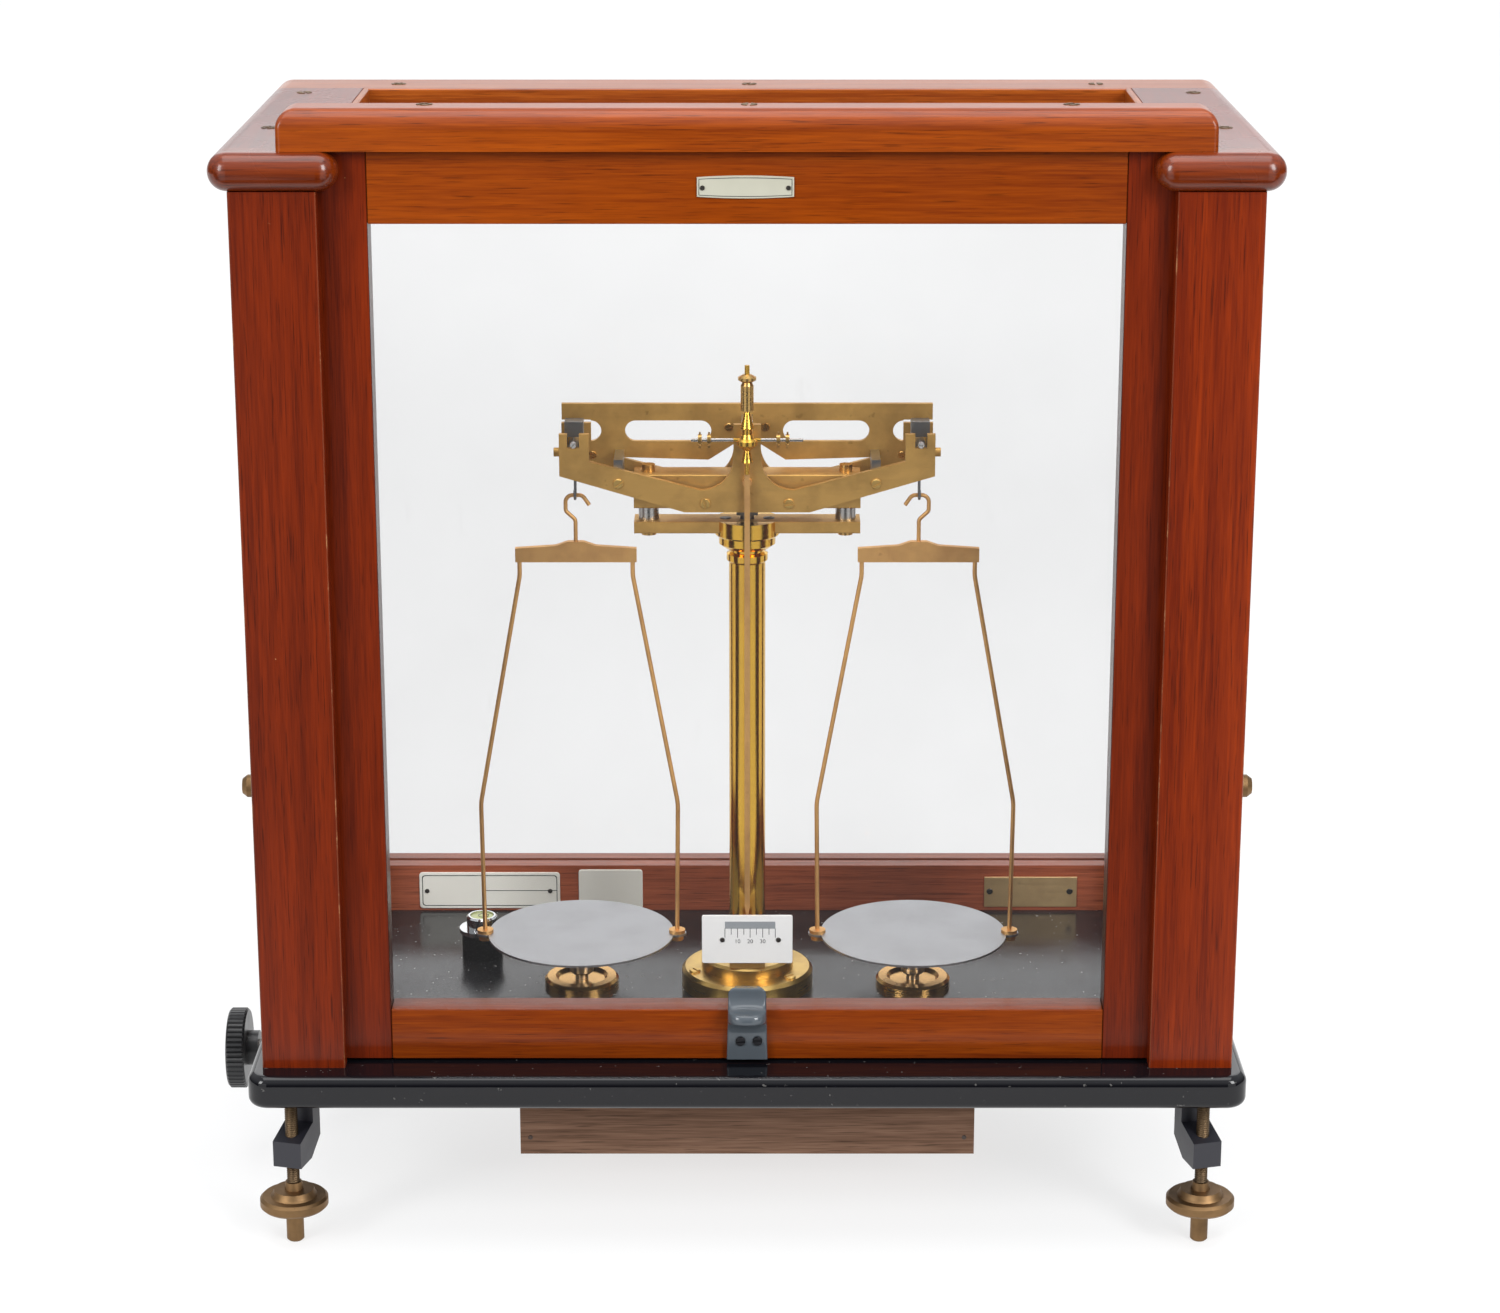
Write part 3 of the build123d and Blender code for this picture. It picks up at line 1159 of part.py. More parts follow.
def foot_wheel():
    """The stepped wheel and tip that turn on the end of the screw."""
    bore = SCREW_R + RUN
    profile = [
        (0, 0), (TIP_R - 0.8, 0), (TIP_R, 0.8), (TIP_R, WHEEL_LOW), (WHEEL_R - 1.2, WHEEL_LOW),
        (WHEEL_R, WHEEL_LOW + 1.2), (WHEEL_R, WHEEL_TOP - 1.2), (WHEEL_R - 1.2, WHEEL_TOP),
        (WHEEL_STEP_R + 0.6, WHEEL_TOP), (WHEEL_STEP_R, WHEEL_TOP + 0.8),
        (WHEEL_STEP_R - 1.0, WHEEL_STEP_TOP),
        (WHEEL_BOSS_R, WHEEL_STEP_TOP), (WHEEL_BOSS_R - 0.6, WHEEL_BOSS_TOP), (bore, WHEEL_BOSS_TOP),
        (bore, SCREW_LOW), (0, SCREW_LOW),
    ]
    return turned(profile, SCREW_X, SCREW_Y)


def spirit_level():
    """A black body, and a chromed flange and bezel with the glass in it."""
    flange = BASE_TOP + LEVEL_H
    body = upright(LEVEL_R, BASE_TOP, flange)
    bezel = flange + LEVEL_FLANGE_H
    top = bezel + LEVEL_BEZEL_H
    cap = turned([
        (0, flange), (LEVEL_FLANGE_R, flange), (LEVEL_FLANGE_R, bezel), (LEVEL_BEZEL_R, bezel),
        (LEVEL_BEZEL_R, top - 0.8), (LEVEL_BEZEL_R - 0.8, top), (LEVEL_GLASS_R, top),
        (LEVEL_GLASS_R, top - 0.8), (0, top - 0.8),
    ])
    place = Pos(LEVEL_X, LEVEL_Y, 0)
    return [place * body, place * cap]


def save_pair(left_node, right_node, pieces):
    """Saves pieces made on the right, and their mirror images on the left."""
    right = pieces if isinstance(pieces, list) else [pieces]
    save(right_node, right)
    save(left_node, [mirror(piece, Plane.YZ) for piece in right])


save("base_board", base_board())
save_pair("left_pillar", "right_pillar", pillar())
save("rear_frame", rear_frame())
save("rear_glass", block(*REAR_PANE))
save_pair("left_top_rail", "right_top_rail", top_side_rail())
save("top_cross_rails", top_cross_rails())
save("top_glass", block(*TOP_PANE))

save("sash_frame", sash_frame())
save("sash_glass", block(*SASH_PANE))
save("sash_cap", sash_cap())
save("lift_handle", lift_handle())
save_pair("left_counterweight", "right_counterweight", counterweight())
save_pair("left_pulley", "right_pulley", pulley())
save("sash_cords", both_sides(sash_cord()))

save_pair("left_door", "right_door", side_door())
save_pair("left_door_glass", "right_door_glass", block(*DOOR_PANE))
save_pair("left_door_fittings", "right_door_fittings", door_fittings())
save("door_hinges", [half for hinge in fixed_hinges() for half in both_sides(hinge)])

save("column_foot", column_foot())
save("column", column())
save("crosshead", crosshead())
save("bridge_posts", both_sides(bridge_post()))
save("bridge_bar", bridge_bar())
save("agate_plane", agate_plane())
save("scale_plate", scale_plate())
save("scale_bracket", scale_bracket())

save("beam_front_plate", beam_front_plate())
save("beam_rear_plate", beam_rear_plate())
save("beam_knives", beam_knives())
save("gravity_bob", gravity_bob())
save("gravity_nut", gravity_nut())
save("left_balance_nuts", [balance_nut(x) for x in BALANCE_LEFT])
save("right_balance_nuts", [balance_nut(x) for x in BALANCE_RIGHT])
save("pointer", pointer())
save_pair("left_stirrup", "right_stirrup", stirrup())
save_pair("left_hanger", "right_hanger", hanger())
save_pair("left_pan", "right_pan", pan())

save("arrest_knob", arrest_knob())
save("arrest_shaft", arrest_shaft())
save("arrest_box", arrest_box())
save("beam_lifter", beam_lifter())
save("stop_sockets", both_sides(stop_socket()))
save_pair("left_pan_stop", "right_pan_stop", pan_stop())

save("foot_brackets", both_sides(foot_bracket()) + [rear_foot()])
save_pair("left_foot_screw", "right_foot_screw", foot_screw())
save_pair("left_foot_wheel", "right_foot_wheel", foot_wheel())
save("spirit_level", spirit_level())
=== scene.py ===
# %% [markdown]
# # A balance scale in its glazed case
#
# The drawing of the balance comes in as a fixed frame: each of its parts is an object that already stands
# in its place, in metres. This lesson gives those parts their wood, brass, steel and glass, and adds the
# small things that a drawing leaves out: screws, plates, threads, ruled lines and figures. Everything is
# worked out in the same coordinates as the drawing, so nothing has to be fitted by eye.

# %% Load the drawing
import math

import bmesh
import bpy
import numpy as np
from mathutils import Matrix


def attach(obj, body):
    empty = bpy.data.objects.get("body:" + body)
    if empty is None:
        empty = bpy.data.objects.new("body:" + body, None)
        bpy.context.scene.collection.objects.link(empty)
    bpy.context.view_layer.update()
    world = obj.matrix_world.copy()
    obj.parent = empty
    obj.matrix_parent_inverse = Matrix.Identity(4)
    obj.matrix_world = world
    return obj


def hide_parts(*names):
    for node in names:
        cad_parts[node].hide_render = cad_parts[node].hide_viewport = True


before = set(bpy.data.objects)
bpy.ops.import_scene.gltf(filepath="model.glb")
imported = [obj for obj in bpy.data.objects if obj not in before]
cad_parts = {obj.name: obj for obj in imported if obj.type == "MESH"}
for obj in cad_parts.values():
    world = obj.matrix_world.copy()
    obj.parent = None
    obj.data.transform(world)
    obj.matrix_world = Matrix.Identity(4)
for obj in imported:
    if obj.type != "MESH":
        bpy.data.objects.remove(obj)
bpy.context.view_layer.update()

# %% [markdown]
# ## Measures
#
# A maker reads sizes in millimetres from the column's axis, the knife edges and the base. One helper turns
# such a place into the metres of the scene, and a few named heights keep the later cells readable.

# %% Places and heights
MM = 0.001
COLUMN_X = 9.0        # column to the middle of the whole
COLUMN_Y = -8.0
BASE_TOP = 85.0
KNIFE_Z = 343.7
TOP_Z = 483.0
CAP_TOP = 500.0
SASH_FACE = -100.0
REAR_RAIL_FACE = 88.0
CASE_HALF = 210.5     # outer faces of the pillars
PILLAR_IN = 174.5     # their inner faces
CASE_FRONT = -108.0
GLASS_HALF = 154.75   # half the width of the sash's pane
PLATE_FACE = -20.85   # front of the beam's front plate
REAR_PLATE_FACE = 2.15


def place(points):
    """Millimetres about the column become metres in the scene: (x + 9, y, z) / 1000."""
    return (np.asarray(points, float) + (COLUMN_X, 0.0, 0.0)) * MM


print("the knife edges stand", KNIFE_Z - BASE_TOP, "mm above the base")

# %% [markdown]
# ## Shader maths as plain expressions
#
# A finish is a little arithmetic on the position of a point. Blender does it with Math nodes, which are slow
# to read. The class below wraps a node's output, so that `1 - mask * 0.5` adds the nodes by itself. Every
# other node comes from one method. The room around the object is shaded by such nodes too, so a finish can
# belong to a material or to a world.

# %% Signals and finishes
class Signal:
    """One shader output. Arithmetic on it adds Math nodes."""

    def __init__(self, finish, socket):
        self.finish = finish
        self.socket = socket

    def _math(self, operation, a, b=0.0):
        return self.finish.add("Math", {"operation": operation}, {0: a, 1: b})

    def __add__(self, other):
        return self._math("ADD", self, other)

    def __sub__(self, other):
        return self._math("SUBTRACT", self, other)

    def __mul__(self, other):
        return self._math("MULTIPLY", self, other)

    def __radd__(self, other):
        return self._math("ADD", other, self)

    def __rsub__(self, other):
        return self._math("SUBTRACT", other, self)

    def __rmul__(self, other):
        return self._math("MULTIPLY", other, self)

    def __gt__(self, other):
        return self._math("GREATER_THAN", self, other)

    def __lt__(self, other):
        return self._math("LESS_THAN", self, other)

    def __abs__(self):
        return self._math("ABSOLUTE", self)


class Finish:
    """A material or a world under construction, with one surface shader."""

    def __init__(self, name, kind="Material"):
        library = bpy.data.materials if kind == "Material" else bpy.data.worlds
        self.owner = library.new(name)
        self.owner.use_nodes = True
        self.tree = self.owner.node_tree
        self.tree.nodes.clear()
        self.out = self.tree.nodes.new("ShaderNodeOutput" + kind)

    def add(self, kind, settings=None, sockets=None, output=0):
        """Any node: its type, its settings (set first), then values or links for its sockets."""
        node = self.tree.nodes.new("ShaderNode" + kind)
        for key, value in (settings or {}).items():
            if key == "stops":
                ramp = node.color_ramp.elements
                while len(ramp) < len(value):
                    ramp.new(0.5)
                for stop, (where, colour) in zip(ramp, value):
                    stop.position = where
                    stop.color = (*colour, 1.0)
            else:
                setattr(node, key, value)
        for key, value in (sockets or {}).items():
            if isinstance(value, Signal):
                self.tree.links.new(value.socket, node.inputs[key])
            else:
                node.inputs[key].default_value = value
        return Signal(self, node.outputs[output])

    def position(self):
        """Where the point is on the object, in metres."""
        return self.add("TexCoord", output="Object")

    def axes(self):
        """The point's x, y and z as three signals."""
        split = self.add("SeparateXYZ", sockets={0: self.position()})
        return [Signal(self, split.socket.node.outputs[k]) for k in range(3)]

    def noise(self, scale, detail=3.0, roughness=0.5, squeeze=(1.0, 1.0, 1.0), shift=(0.0, 0.0, 0.0)):
        """Soft noise from 0 to 1, with scale swells per metre, stretched where squeeze is small."""
        moved = {"Vector": self.position(), "Location": shift, "Scale": squeeze}
        vector = self.add("Mapping", sockets=moved)
        sockets = {"Vector": vector, "Scale": scale, "Detail": detail, "Roughness": roughness}
        return self.add("TexNoise", sockets=sockets, output="Fac")

    def ramp(self, signal, low, high):
        """0 at low, 1 at high, straight between and level beyond; high may be the smaller."""
        sockets = {"Value": signal, "From Min": low, "From Max": high}
        return self.add("MapRange", {"clamp": True}, sockets)

    def colour(self, factor, a, b):
        """Colour a where factor is 0 and b where it is 1."""
        a = a if isinstance(a, Signal) else (*a, 1.0)
        b = b if isinstance(b, Signal) else (*b, 1.0)
        return self.add("Mix", {"data_type": "RGBA"}, {0: factor, 6: a, 7: b}, output=2)

    def bump(self, height, strength, distance=0.0002):
        """A Bump node that reads the height signal."""
        return self.add("Bump", sockets={"Height": height, "Strength": strength, "Distance": distance})

    def surface(self, sockets, shader="BsdfPrincipled"):
        """The shader with these sockets, linked to the output."""
        closure = self.add(shader, sockets=sockets)
        self.tree.links.new(closure.socket, self.out.inputs["Surface"])
        return self.owner


print("a finish can add, scale, compare and mix")

# %% [markdown]
# ## Mahogany
#
# The case is mahogany under a clear lacquer: straight fine grain, short dark pores, and broad bands where one
# board is redder than the next. Grain is noise that is stretched about thirty times along the board. A board
# lies along X, Y or Z, and a joined frame has both upright and level boards, so one finish can hold two
# grains and choose by place, with a thin dark joint between them. A clear coat lies over the colour. Pale
# chips show where it has been knocked off, most of all along the pillars' sharp edges, and painted shade
# darkens the wood towards the base, where less light falls.

# %% Wood
WOOD_RED = ((0.082, 0.0068, 0.0006), (0.205, 0.0205, 0.0012))
# partly the wood's own paler tone and partly painted light: on the right pillar it stands for the brighter
# light from the right
WOOD_GLOW = ((0.135, 0.0110, 0.0003), (0.295, 0.0310, 0.0006))
WOOD_AMBER = ((0.160, 0.0210, 0.0006), (0.335, 0.0610, 0.0016))
WOOD_NOSE = ((0.095, 0.0110, 0.0008), (0.225, 0.0330, 0.0020))
# painted light: the top's cross rails get this far paler tone, standing for light that reaches them through
# the top pane
WOOD_CROSS_RAIL_PAINTED_LIGHT = ((0.215, 0.0380, 0.0030), (0.460, 0.1150, 0.0120))
# painted light: the rear frame's tone below is far paler than the other mahogany and stands for light
# reaching it through the glass
WOOD_REAR_PAINTED_LIGHT = ((0.300, 0.067, 0.0270), (0.630, 0.165, 0.0700))
WOOD_DARK = ((0.165, 0.088, 0.053), (0.390, 0.225, 0.148))
ALONG = {"x": (0.03, 1.0, 1.0), "y": (1.0, 0.03, 1.0), "z": (1.0, 1.0, 0.03)}
CHIP_TONE = (0.48, 0.25, 0.11)      # bare wood where the lacquer is gone
JOINT_TONE = (0.012, 0.004, 0.002)
# painted shade: this dark tone and the heights below darken the wood towards the base, for the lesser light
# there
LOW_SHADE_TONE = (0.012, 0.003, 0.001)
LOW_SHADE_FROM, LOW_SHADE_FULL = 0.44, 0.09  # heights in metres between which the painted shade thickens towards the base
JOINT_HALF = 0.00022                # half the width of a joint between two boards
EDGE_BAND = 0.0005                  # worn band on each side of a sharp edge


def grain(finish, along, tones, seed):
    """Colour and pore height of one board.

    The figure is 0.45 bands + 0.30 fibres + 0.25 hairs, at 30, 420 and 1300 swells per metre. It runs from
    the darker tone to the paler, and pores at 1700 per metre darken it in short streaks.
    """
    squeeze = ALONG[along]
    bands = finish.noise(30.0, 3.0, 0.55, squeeze, (seed, seed * 0.7, seed * 1.3))
    fibres = finish.noise(420.0, 3.0, 0.6, squeeze, (seed * 2.1, 0.3, seed))
    hairs = finish.noise(1300.0, 2.0, 0.6, squeeze, (seed * 0.4, seed, 0.9))
    pores = finish.noise(1700.0, 2.0, 0.5, squeeze, (0.1, seed * 1.7, seed))
    figure = finish.ramp(bands * 0.45 + fibres * 0.30 + hairs * 0.25, 0.40, 0.62)
    tone = finish.colour(figure, *tones)
    dark_pores = finish.ramp(pores, 0.60, 0.70)
    return finish.colour(dark_pores * 0.6, tone, tuple(c * 0.25 for c in tones[0])), pores


def wood(name, along, tones, seed, split=None, edges=(), gloss=0.24, coat=0.12):
    """Lacquered wood, with painted shade that darkens it towards the base, where less light falls.

    split is (axis, middle, half, tones, along): further than half from the middle it is another board.
    edges are the (x, y) of upright sharp edges, in metres, where a narrow band is worn.
    """
    finish = Finish(name)
    axes = finish.axes()
    tone, pores = grain(finish, along, tones, seed)
    if split:
        axis, middle, half, other_tones, other_along = split
        away = abs(axes["xyz".index(axis)] - middle)
        beyond = away > half
        other, other_pores = grain(finish, other_along, other_tones, seed + 3.0)
        tone = finish.colour(beyond, tone, other)
        pores = pores + (other_pores - pores) * beyond
        joint = abs(away - half) < JOINT_HALF
        tone = finish.colour(joint * 0.8, tone, JOINT_TONE)
    knocks = finish.noise(95.0, 4.0, 0.72, shift=(seed, seed, seed))
    chips = finish.ramp(knocks, 0.752, 0.768)
    for edge_x, edge_y in edges:
        band = (abs(axes[0] - edge_x) < EDGE_BAND) * (abs(axes[1] - edge_y) < EDGE_BAND)
        chips = chips + band * (0.12 + 0.7 * finish.ramp(knocks, 0.56, 0.68))
    # painted shade: the tone darkens towards the base, where less light falls
    painted_low_shade = finish.ramp(axes[2], LOW_SHADE_FROM, LOW_SHADE_FULL)
    tone = finish.colour(painted_low_shade * 0.27, tone, LOW_SHADE_TONE)
    tone = finish.colour(finish.ramp(chips * 0.7, 0.0, 1.0), tone, CHIP_TONE)
    handled = finish.noise(14.0, 3.0, 0.6, shift=(seed * 3.0, 1.0, 0.0))
    return finish.surface({
        "Base Color": tone, "Roughness": handled * 0.14 + gloss,
        "Normal": finish.bump(pores, 0.05), "Coat Weight": coat, "Coat Roughness": 0.10,
        "Specular IOR Level": 0.15 + coat * 0.5,
    })


MIDDLE = COLUMN_X * MM
pillar_edges = {
    side: [((COLUMN_X + sign * x) * MM, CASE_FRONT * MM) for x in (PILLAR_IN, CASE_HALF)]
    for side, sign in (("left", -1), ("right", 1))
}
sash_split = ("x", MIDDLE, GLASS_HALF * MM, WOOD_RED, "z")
rear_split = ("x", MIDDLE, 0.1805, WOOD_RED, "z")
door_split = ("y", 0.0035, 0.0511, WOOD_RED, "z")
nose_split = ("y", 0.0, 0.094, WOOD_NOSE, "x")
bright = {"gloss": 0.20, "coat": 0.35}
wood_finishes = {
    "left_pillar": wood("mahogany_left_pillar", "z", WOOD_RED, 1.0, edges=pillar_edges["left"]),
    # the right pillar's paler tone is partly its own wood and partly painted light from the brighter right
    # side
    "right_pillar": wood("mahogany_right_pillar", "z", WOOD_GLOW, 2.0, edges=pillar_edges["right"]),
    "sash_frame": wood("mahogany_sash", "x", WOOD_AMBER, 3.0, sash_split),
    "sash_cap": wood("mahogany_cap", "x", WOOD_AMBER, 4.0, coat=0.25),
    # painted light: the rear frame's paler tone stands for light reaching it through the glass
    "rear_frame": wood("mahogany_rear", "x", WOOD_REAR_PAINTED_LIGHT, 5.0, rear_split),
    "left_top_rail": wood("mahogany_left_rail", "y", WOOD_RED, 6.0, nose_split, **bright),
    "right_top_rail": wood("mahogany_right_rail", "y", WOOD_RED, 7.0, nose_split, **bright),
    # painted light: the cross rails' paler tone stands for light reaching them through the top pane
    "top_cross_rails": wood("mahogany_cross_rails", "x", WOOD_CROSS_RAIL_PAINTED_LIGHT, 8.0, coat=0.35),
    "left_door": wood("mahogany_left_door", "y", WOOD_GLOW, 9.0, door_split),
    "right_door": wood("mahogany_right_door", "y", WOOD_GLOW, 10.0, door_split),
    "arrest_box": wood("box_wood", "x", WOOD_DARK, 11.0, gloss=0.55, coat=0.0),
}
print(len(wood_finishes), "wood finishes")

# %% [markdown]
# ## Black lacquer with dust
#
# The base is a board under thick black lacquer, as bright as a mirror at its rounded rim. Inside the case
# nobody wipes it, and grey dust dulls it. The dust is a mask: inside the case, thicker where slow noise says
# so, with single bright specks.

# %% Lacquer
INSIDE_HALF_X, INSIDE_HALF_Y, INSIDE_LOW = 0.1935, 0.0865, 0.0849


def dusty_lacquer():
    """Black gloss outside the case; inside it dust = 0.12 + 0.44 film, with single specks and lint."""
    finish = Finish("black_lacquer")
    x, y, z = finish.axes()
    inside = (abs(x - MIDDLE) < INSIDE_HALF_X) * (abs(y) < INSIDE_HALF_Y) * (z > INSIDE_LOW)
    film = finish.ramp(finish.noise(13.0, 6.0, 0.72), 0.36, 0.66)
    specks = finish.ramp(finish.noise(420.0, 2.0, 0.5), 0.72, 0.75)
    lint = finish.ramp(finish.noise(70.0, 6.0, 0.75), 0.68, 0.72)
    dust = inside * (0.12 + 0.44 * film)
    marks = specks * (0.15 + 0.6 * inside) + lint * inside * 0.5
    tone = finish.colour(dust * 0.55, (0.0040, 0.0040, 0.0055), (0.085, 0.084, 0.086))
    tone = finish.colour(marks, tone, (0.55, 0.54, 0.50))
    return finish.surface({
        "Base Color": tone, "Roughness": 0.07 + dust * 0.36 + marks * 0.2,
        "Normal": finish.bump(finish.noise(30.0, 2.0), 0.05), "Specular IOR Level": 0.40,
    })


base_lacquer = dusty_lacquer()
print("the base is lacquered")

# %% [markdown]
# ## Metals
#
# The balance itself is brass under golden lacquer. Flat parts were lapped with fine emery, so they are dull
# with short scratches; turned parts are bright with rings from the tool. Both are the same metal with another
# roughness and another direction of scratches. Tarnish darkens it in patches. Feet and hinges lost their
# lacquer long ago. Steel, chromium and the plated pans follow the same recipe. Where one part of the drawing
# is of two metals, such as the level's black body and chromed rim, a test of the place chooses between them.

# %% Metal finishes
BRASS = (0.67, 0.405, 0.122)
BRASS_DULL = (0.385, 0.228, 0.068)
SCRATCHES = {
    "x": (0.05, 1.0, 1.0), "z": (1.0, 1.0, 0.05),
    "rings": (0.03, 0.03, 1.0), "none": (1.0, 1.0, 1.0),
}


def metal(name, tone, stain, smooth, rough, lines, patches, deep=0.08, second=None):
    """Metal whose roughness runs from smooth to rough, with scratches along lines.

    patches says how far stain takes over the tone, and deep how strong the scratches' bump is.
    second is (test, tone): a test of x, y and z in metres that says where the piece is of another metal.
    """
    finish = Finish(name)
    scratch = finish.noise(900.0, 3.0, 0.6, SCRATCHES[lines])
    cloud = finish.noise(45.0, 4.0, 0.6)
    tarnish = finish.ramp(cloud, 0.42, 0.72) * patches
    spots = finish.ramp(finish.noise(330.0, 2.0, 0.5), 0.69, 0.73) * patches
    colour = finish.colour(tarnish + spots * 0.5, tone, stain)
    if second:
        test, other = second
        colour = finish.colour(test(*finish.axes()), colour, other)
    return finish.surface({
        "Base Color": colour, "Metallic": 1.0,
        "Roughness": finish.ramp(scratch * 0.6 + cloud * 0.4, 0.3, 0.7) * (rough - smooth) + smooth,
        "Normal": finish.bump(scratch, deep),
    })


STEEL = (0.52, 0.51, 0.49)
GOLD = (0.78, 0.46, 0.065)
GOLD_STAIN = (0.50, 0.27, 0.07)
SPINDLE_HALF = 0.006            # beyond it the spindle's cross rods are steel
POST_LOW, POST_HIGH = 0.3007, 0.3274  # the posts are steel between these heights, with brass nuts
LEVEL_RIM = 0.097               # the level is black below its chromed rim
lapped_brass = metal("lapped_brass", BRASS, BRASS_DULL, 0.46, 0.60, "x", 0.9)
turned_brass = metal("turned_brass", GOLD, GOLD_STAIN, 0.13, 0.24, "rings", 0.30, 0.02)
foot_brass = metal("foot_brass", (0.66, 0.44, 0.13), (0.28, 0.17, 0.07), 0.24, 0.38, "rings", 0.8, 0.03)
cross_rods = (lambda x, y, z: abs(x - MIDDLE) > SPINDLE_HALF, (0.60, 0.58, 0.55))
spindle_brass = metal("spindle_brass", GOLD, GOLD_STAIN, 0.20, 0.32, "rings", 0.35, 0.02, cross_rods)
nut_brass = metal("nut_brass", (0.68, 0.43, 0.14), (0.38, 0.23, 0.08), 0.22, 0.36, "rings", 0.5, 0.03)
hanger_brass = metal("hanger_brass", (0.80, 0.47, 0.18), (0.42, 0.22, 0.09), 0.46, 0.60, "z", 0.6)
collar_brass = metal("collar_brass", (0.73, 0.42, 0.13), (0.43, 0.23, 0.08), 0.18, 0.30, "rings", 0.3)
worn_brass = metal("worn_brass", (0.25, 0.150, 0.070), (0.10, 0.062, 0.034), 0.42, 0.58, "rings", 0.7, 0.04)
screw_brass = metal("screw_brass", (0.17, 0.115, 0.065), (0.07, 0.05, 0.035), 0.45, 0.60, "none", 0.7)
plate_brass = metal("plate_brass", (0.74, 0.54, 0.28), (0.44, 0.30, 0.15), 0.50, 0.62, "x", 0.6)
screw_gold = metal("screw_gold", (0.76, 0.51, 0.16), (0.46, 0.29, 0.09), 0.38, 0.52, "none", 0.4)
pin_steel = metal("pin_steel", (0.80, 0.79, 0.77), (0.50, 0.49, 0.47), 0.40, 0.50, "none", 0.3)
blued_steel = metal("blued_steel", (0.045, 0.045, 0.050), (0.02, 0.02, 0.02), 0.35, 0.50, "none", 0.4)
turned_steel = metal("turned_steel", STEEL, (0.27, 0.25, 0.22), 0.22, 0.40, "rings", 0.5)
post_nuts = (lambda x, y, z: (z > POST_HIGH) + (z < POST_LOW), (0.66, 0.41, 0.13))
post_steel = metal("post_steel", STEEL, (0.30, 0.28, 0.26), 0.22, 0.40, "rings", 0.5, 0.12, post_nuts)
ground_steel = metal("ground_steel", (0.42, 0.42, 0.42), (0.22, 0.21, 0.20), 0.25, 0.38, "x", 0.4)
dark_steel = metal("dark_steel", (0.26, 0.27, 0.28), (0.13, 0.13, 0.13), 0.30, 0.46, "z", 0.5)
black_body = (lambda x, y, z: z < LEVEL_RIM, (0.03, 0.03, 0.03))
chromium = metal(
    "chromium", (0.72, 0.73, 0.74), (0.50, 0.50, 0.50), 0.06, 0.16, "none", 0.3, 0.03, black_body)
plated_pan = metal("plated_pan", (0.44, 0.44, 0.452), (0.37, 0.37, 0.37), 0.40, 0.54, "none", 0.35, 0.05)
raw_iron = metal("raw_iron", (0.10, 0.10, 0.10), (0.10, 0.05, 0.03), 0.45, 0.65, "none", 0.8)
screw_metal = metal("screw_metal", (0.12, 0.11, 0.10), (0.07, 0.05, 0.04), 0.35, 0.50, "none", 0.6)
print("brass tone", BRASS, "golden lacquer", GOLD)

# %% [markdown]
# ## Glass, resins and enamel
#
# Panes are clear, so each face lets nearly all light through and adds only a faint haze and a reflection.
# Alpha does that and stays cheap to render through four layers. Mouldings are smooth resin with a trace of
# orange peel; paint on castings is rougher; plates are ivory or white sheet.

# %% Plain finishes
GLASS_CLEAR_ABOVE, GLASS_DIM_BELOW = 0.47, 0.34    # heights in metres between which the glass turns from clear at the top to darker below


def pane_glass():
    """Sheet glass: alpha is 0.018 + 0.025 smear + 0.05 wiping marks + 0.045 that makes it darker below its
    top.
    """
    finish = Finish("sheet_glass")
    x, y, z = finish.axes()
    smear = finish.ramp(finish.noise(7.0, 4.0, 0.6), 0.35, 0.8)
    wiped = finish.ramp(finish.noise(55.0, 5.0, 0.7, (1.0, 1.0, 0.25)), 0.66, 0.80)
    # the glass is clear near its top and darker below
    depth = finish.ramp(z, GLASS_CLEAR_ABOVE, GLASS_DIM_BELOW)
    return finish.surface({
        "Base Color": finish.colour(wiped, (0.10, 0.10, 0.10), (0.75, 0.75, 0.74)), "Roughness": 0.03,
        "Alpha": smear * 0.025 + wiped * 0.05 + depth * 0.045 + 0.018, "Specular IOR Level": 1.0,
    })


def moulded(name, tone, rough, peel=0.05, speckle=0.12):
    """Paint or resin: one tone that drifts by speckle to a paler one, with orange peel in its normal."""
    finish = Finish(name)
    drift = finish.ramp(finish.noise(60.0, 3.0, 0.6), 0.3, 0.7)
    colour = finish.colour(drift * speckle, tone, tuple(min(1.0, c * 1.8 + 0.01) for c in tone))
    return finish.surface({
        "Base Color": colour, "Roughness": drift * 0.08 + rough,
        "Normal": finish.bump(finish.noise(700.0, 2.0), peel),
    })


sheet_glass = pane_glass()
grey_resin = moulded("grey_resin", (0.066, 0.078, 0.090), 0.12)
black_resin = moulded("black_resin", (0.012, 0.012, 0.013), 0.28, 0.10)
black_paint = moulded("black_paint", (0.016, 0.016, 0.022), 0.34, 0.15)
white_plate = moulded("white_plate", (0.90, 0.90, 0.89), 0.30, 0.03, 0.05)
ivory_plate = moulded("ivory_plate", (0.47, 0.462, 0.375), 0.32, 0.03, 0.10)
ivory_card = moulded("ivory_card", (0.86, 0.85, 0.77), 0.40, 0.03, 0.06)
dark_stone = moulded("dark_stone", (0.10, 0.085, 0.075), 0.10, 0.03, 0.5)
ruled_ink = moulded("ruled_ink", (0.030, 0.045, 0.038), 0.50)
figure_ink = moulded("figure_ink", (0.045, 0.045, 0.050), 0.50)
grey_ink = moulded("grey_ink", (0.30, 0.32, 0.34), 0.45)
cord_fibre = moulded("cord_fibre", (0.34, 0.27, 0.17), 0.85, 0.4, 0.5)
print("resins and plates ready")

# %% [markdown]
# ## Dress the drawing
#
# Each part of the drawing keeps its mesh and takes one finish in every slot. Parts that come in pairs are
# named left_ and right_, so a helper writes both names.

# %% Finishes on the parts
def both(*names):
    """left_ and right_ of each name."""
    return [side + name for name in names for side in ("left_", "right_")]


